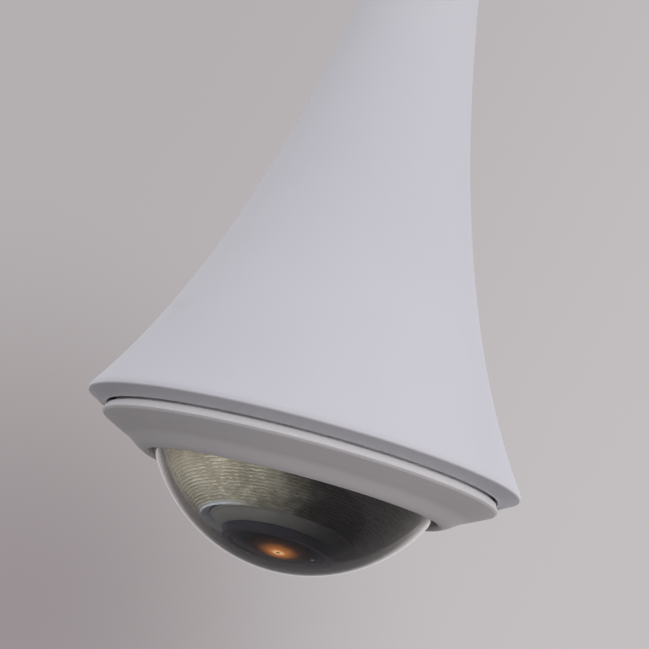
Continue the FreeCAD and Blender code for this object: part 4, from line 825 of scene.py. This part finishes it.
def eye_bosses():
    """Posts inside the bowl that its screws hold on to."""
    low = depth(math.sqrt(EYE_R ** 2 - EYE_BOSS_CIRCLE_R ** 2)) + 4.5
    one = spun([(1.0, low), (2.8, low), (2.8, depth(36.3)), (2.5, depth(36.0)),
                (1.0, depth(36.0))], 32)
    mesh = shaped(scaled(one, 1 / MM), RING, count=3, circle=EYE_BOSS_CIRCLE_R / MM,
                  first_angle=math.radians(30))
    to_frame(scaled(mesh, MM), aimed=True)
    finished("eye_bosses", mesh, "eye_grey", "eye")


def collar():
    """Cone round the lens with a bead along its outer edge."""
    top_r, top = COLLAR_R - COLLAR_BEAD, COLLAR_EDGE + 0.5
    outline = [(COLLAR_R, depth(COLLAR_BACK)), (COLLAR_R, depth(COLLAR_EDGE - 0.25)),
               (COLLAR_R - 0.02, depth(COLLAR_EDGE + 0.05)),
               (COLLAR_R - 0.2, depth(COLLAR_EDGE + 0.32)),
               (COLLAR_R - 0.55, depth(COLLAR_EDGE + 0.48)), (top_r, depth(top))]
    run, rise = top_r - BARREL_R, COLLAR_FRONT - COLLAR_EDGE - 0.5
    for i in range(1, 13):
        t = i / 12
        bow = COLLAR_BOW * math.sin(math.pi * t)
        outline.append((top_r - run * t, depth(top + rise * t + bow)))
    outline.append((BARREL_R, depth(COLLAR_BACK)))
    return turned("collar", outline, "collar_grey", "lens", ["lens_collar"], aimed=True)


def barrel():
    """Stepped barrel: a smooth nose, and grip rings behind the collar."""
    outline = [(NOSE_R - 0.25, NOSE_FRONT), (NOSE_R, NOSE_FRONT - 0.25), (NOSE_R, COLLAR_FRONT),
               (BARREL_R, COLLAR_FRONT)]
    for i in range(GRIP_RINGS):
        low = COLLAR_BACK - 0.6 - i * GRIP_PITCH
        outline += [(BARREL_R, low), (BARREL_R - GRIP_DEEP, low - 0.3), (BARREL_R, low - 0.6)]
    outline += [(BARREL_R, BARREL_STEP + 0.4), (BARREL_R - 0.4, BARREL_STEP),
                (REAR_R, BARREL_STEP), (REAR_R, BARREL_END),
                (REAR_BORE_R, BARREL_END), (REAR_BORE_R, BARREL_STEP),
                (BARREL_BORE_R, BARREL_STEP), (BARREL_BORE_R, SHOULDER),
                (SEAT_R, SHOULDER), (SEAT_R, GLASS_SEAT), (GLASS_R, GLASS_SEAT),
                (GLASS_R, NOSE_FRONT - 0.2), (GLASS_R + 0.2, NOSE_FRONT)]
    outline = [(r, depth(distance)) for r, distance in outline]
    return turned("barrel", outline, "barrel_black", "lens", ["lens_barrel"], aimed=True, steps=192)


def front_glass():
    """Front element, domed in front and hollow behind."""
    face = cap_arc(GLASS_R, NOSE_FRONT - GLASS_SINK, GLASS_BULGE, 40)
    back = cap_arc(GLASS_R, GLASS_SEAT, GLASS_HOLLOW, 20, inward=False)
    return turned("front_glass", back + face, "coated_glass", "lens", ["front_element"],
                  aimed=True, closed=False, steps=160)


def glass_ring():
    """Slim threaded ring with eased edges that holds the front glass."""
    low, high = depth(NOSE_FRONT), depth(NOSE_FRONT - GLASS_SINK)
    outline = [(GLASS_R, low + 0.1), (GLASS_R, high), (GLASS_R - 0.9, high - 0.5),
               (GLASS_R - 0.9, low + 0.15), (GLASS_R - 0.75, low), (GLASS_R - 0.12, low)]
    return turned("glass_ring", outline, "barrel_black", "lens", ["front_ring"],
                  aimed=True, steps=160)


# ---- screws ------------------------------------------------------------
def screw(shank_r, length, head_r, head):
    """One pan-head screw in metres, its seat at 0, with a hexagon socket and a cut thread.

    Its rows are radius, height and how far the round is drawn in to a hexagon, 0 to 1.
    """
    rows = [(0.001, -length, 0.0), (shank_r * 0.7, -length, 0.0)]
    turns = max(3, int(length / THREAD_PITCH))
    for i in range(turns):
        z = -length + (length - 0.6) * (i + 0.2) / turns
        rows += [(shank_r, z, 0.0), (shank_r * 0.88, z + (length - 0.6) * 0.5 / turns, 0.0)]
    rows += [(shank_r, -0.2, 0.0), (shank_r, 0.0, 0.0), (head_r, 0.0, 0.0),
             (head_r, head * 0.62, 0.0), (head_r * 0.95, head * 0.84, 0.0),
             (head_r * 0.84, head * 0.96, 0.0), (head_r * 0.7, head, 0.0),
             (head_r * 0.48, head, 1.0), (head_r * 0.44, head * 0.9, 1.0),
             (head_r * 0.44, head * 0.45, 1.0), (0.001, head * 0.38, 0.0)]
    work = bmesh.new()
    rings, steps = [], 24
    for radius, z, hexed in rows:
        ring = []
        for k in range(steps):
            turn = math.tau * k / steps
            off = (turn + math.pi / 6) % (math.pi / 3) - math.pi / 6
            reach = radius * (1 - hexed + hexed * math.cos(math.pi / 6) / math.cos(off))
            place = (reach * math.cos(turn) / MM, reach * math.sin(turn) / MM, z / MM)
            ring.append(work.verts.new(place))
        rings.append(ring)
    for low, high in zip(rings, rings[1:]):
        for k in range(steps):
            j = (k + 1) % steps
            work.faces.new((low[k], low[j], high[j], high[k]))
    work.faces.new(rings[0][::-1])
    work.faces.new(rings[-1])
    bmesh.ops.remove_doubles(work, verts=work.verts, dist=2e-6)
    mesh = bpy.data.meshes.new("screw")
    work.to_mesh(mesh)
    work.free()
    return mesh


def screws(node, body, count, circle, first, seat, sizes, seed, down=False, aimed=False):
    """A ring of the same screws in place of a node's plain ones."""
    mesh = shaped(screw(*sizes), RING, count=count, circle=circle / MM, seat=seat / MM,
                  first_angle=math.radians(first), lean=math.pi if down else 0.0,
                  spread=2.0, seed=seed)
    to_frame(scaled(mesh, MM), aimed)
    finished(node + "_fine", mesh, "screw_steel", body, [node], 25.0)


pendant_shroud()
shroud_bosses()
pipe_thread()
bezel()
bubble()
eye_bosses()
EYE_PIECES = [ribbed_bowl(), collar(), barrel(), front_glass(), glass_ring()]

# Shank radius and length, then head radius and height.
HUB, PLATE = (1.25, 9.0, 2.2, 1.6), (1.65, 11.0, 3.4, 2.6)
LID, SPRING, BOARD = (1.25, 9.5, 2.2, 1.6), (1.0, 2.4, 1.9, 1.4), (1.25, 7.6, 2.2, 1.6)
RETAINER, EYE = (1.25, 7.5, 2.2, 1.6), (1.0, 5.2, 1.8, 1.2)

# Node, body, count, circle, first angle, seat, sizes, seed.
screws("hub_screws", "pendant", 3, 18.5, 90, 157.0, HUB, 2, down=True)
screws("plate_screws", "pendant", 3, BOSS_CIRCLE_R, 30, 50.0, PLATE, 3, down=True)
screws("back_cover_screws", "camera", 4, 48.03, 15, 45.0, LID, 4)
screws("spring_screws", "camera", 3, 63.1, 0, 3.4, SPRING, 5)
screws("board_screws", "camera", 4, 42.5, 60, 35.6, BOARD, 6)
screws("retainer_screws", "cover", 6, 66.2, 30, -1.5, RETAINER, 7)
screws("eye_screws", "eye", 3, EYE_BOSS_CIRCLE_R, 30, depth(34.0), EYE, 8, aimed=True)


# ---- stage -------------------------------------------------------------
WALL_AWAY, WALL_UP, WALL_CORNER, FLOOR_DOWN, FLOOR_R = 3.0, 3.5, 0.5, 1.5, 1.2    # metres


def set_piece(name, rows, sheet_of):
    """A turned surface of the set, in metres, with its own painted material."""
    mesh = shaped(points_mesh(rows), LATHE, points=len(rows), rows=len(rows), steps=128)
    material = bpy.data.materials.new(name + "_paint")
    material.use_nodes = True
    sheet_of(Sheet(material.node_tree))
    mesh.materials.clear()
    mesh.materials.append(material)
    mesh.shade_smooth()
    thing = put(name, mesh)
    return thing


def wall_paint(sheet):
    """Pale wall backdrop with painted shade, darker to the left, and a painted shadow, darker and
    pinker, to the lower left.
    """
    x = sheet.add("ShaderNodeSeparateXYZ", {}, {0: sheet.add("ShaderNodeTexCoord", out=3)})
    z = x.other("Z")
    # Painted shade: the wall darkens towards the left.
    side = (x * 0.966 - z * 0.259).rise(-0.75, 0.65)
    # Painted shadow: a darker, pinker patch to the lower left.
    from_shadow = ((x + 0.46) * (x + 0.46) + (z + 0.28) * (z + 0.28)).root()
    shadow = from_shadow.rise(0.86, 0.0)
    tone = sheet.mix(side, linear(180, 175, 176), linear(195, 191, 192))
    tone = sheet.mix(shadow, tone, linear(153, 145, 147))
    glow = sheet.add("ShaderNodeEmission", {}, {"Color": tone})
    sheet.add("ShaderNodeOutputMaterial", {}, {"Surface": glow})


def floor_paint(sheet):
    """Matt, faintly clouded grey."""
    cloud = sheet.add("ShaderNodeTexNoise", {}, {
        "Vector": sheet.add("ShaderNodeTexCoord", out=3), "Scale": 1.2})
    tone = sheet.mix(cloud, (0.40, 0.39, 0.39), (0.44, 0.43, 0.43))
    surface = sheet.add("ShaderNodeBsdfPrincipled", {}, {"Base Color": tone, "Roughness": 0.8})
    sheet.add("ShaderNodeOutputMaterial", {}, {"Surface": surface})


def stage():
    """A pale floor under the camera and a wall all round that is seen but lights nothing."""
    floor = set_piece("floor", [(0.0, -FLOOR_DOWN), (FLOOR_R, -FLOOR_DOWN)], floor_paint)
    wall = set_piece("wall", [
        (FLOOR_R, -FLOOR_DOWN), (WALL_AWAY - WALL_CORNER, -FLOOR_DOWN),
        (WALL_AWAY, WALL_CORNER - FLOOR_DOWN), (WALL_AWAY, WALL_UP)], wall_paint)
    wall.visible_diffuse = False
    wall.visible_shadow = False
    wall.visible_glossy = False
    floor.visible_glossy = False


def room_light():
    """Soft daylight, bright round the horizon, dimmer above, dark below.

    It is a little stronger from the front right.
    """
    world = bpy.data.worlds.new("room")
    bpy.context.scene.world = world
    world.use_nodes = True
    sheet = Sheet(world.node_tree)
    x = sheet.add("ShaderNodeSeparateXYZ", {}, {0: sheet.add("ShaderNodeTexCoord")})
    y, z = x.other("Y"), x.other("Z")
    height = sheet.add("ShaderNodeValToRGB", {"stops": [
        (0.0, (0.11, 0.10, 0.102)), (0.36, (0.15, 0.138, 0.14)), (0.46, (0.98, 0.95, 0.96)),
        (0.58, (1.15, 1.13, 1.16)), (0.72, (0.72, 0.715, 0.76)), (1.0, (0.58, 0.58, 0.63))]},
        {0: z * 0.5 + 0.5})
    below = z.rise(0.3, -0.3)
    light = sheet.add("ShaderNodeBackground", {}, {
        "Color": height, "Strength": 0.97 + x * (0.07 + below * 0.54) - y * 0.22})
    sheet.add("ShaderNodeOutputWorld", {}, {"Surface": light})


def lamp(name, place, aim, size, watts, colour, lit):
    """A soft round lamp that lights only the pieces given."""
    data = bpy.data.lights.new(name, "AREA")
    data.shape, data.size, data.energy, data.color = "DISK", size, watts, colour
    thing = put(name, data)
    turn = (Vector(aim) - Vector(place)).to_track_quat("-Z", "Y")
    thing.matrix_world = Matrix.Translation(place) @ turn.to_matrix().to_4x4()
    reach = bpy.data.collections.new(name + "_reach")
    for piece in lit:
        reach.objects.link(piece)
    thing.light_linking.receiver_collection = reach


stage()
room_light()
lamp("window", (-1.5, -1.3, -0.75), (0, 0, -0.22), 0.4, 34.0, (1.0, 0.98, 0.92), EYE_PIECES)


# ---- camera ------------------------------------------------------------
# The viewer's distance in metres and degrees below the lip; the degrees by which
# the aim is off the lip; the roll; the angle of view.
VIEWER_AWAY, VIEWER_BELOW = 0.6783, 6.83
AIM_RIGHT, AIM_UP, ROLL, VIEW_ANGLE, SENSOR = -0.348, 3.922, 14.86, 20.0, 36.0


def photographer():
    """Camera at the viewer's place, with its aim and roll."""
    lip = Vector((0, 0, -LIP_HEIGHT / MM))
    below = math.radians(VIEWER_BELOW)
    eye = lip + Vector((0, -VIEWER_AWAY * math.cos(below), -VIEWER_AWAY * math.sin(below)))
    ahead = (lip - eye).normalized()
    right = ahead.cross(Vector((0, 0, 1))).normalized()
    up = right.cross(ahead)
    off_right, off_up = math.tan(math.radians(AIM_RIGHT)), math.tan(math.radians(AIM_UP))
    aim = (ahead + off_right * right + off_up * up).normalized()
    right = aim.cross(up).normalized()
    up = right.cross(aim)
    cos_roll, sin_roll = math.cos(math.radians(ROLL)), math.sin(math.radians(ROLL))
    right, up = cos_roll * right + sin_roll * up, cos_roll * up - sin_roll * right
    data = bpy.data.cameras.new("camera")
    data.sensor_width = SENSOR
    data.lens = SENSOR / 2 / math.tan(math.radians(VIEW_ANGLE / 2))
    data.clip_start, data.clip_end = 0.01, 50.0
    thing = put("camera", data)
    thing.matrix_world = Matrix.Translation(eye) @ Matrix((right, up, -aim)).transposed().to_4x4()
    bpy.context.scene.camera = thing


photographer()
bpy.context.scene.view_settings.view_transform = "Standard"
bpy.context.scene.view_settings.look = "None"

bpy.context.view_layer.update()
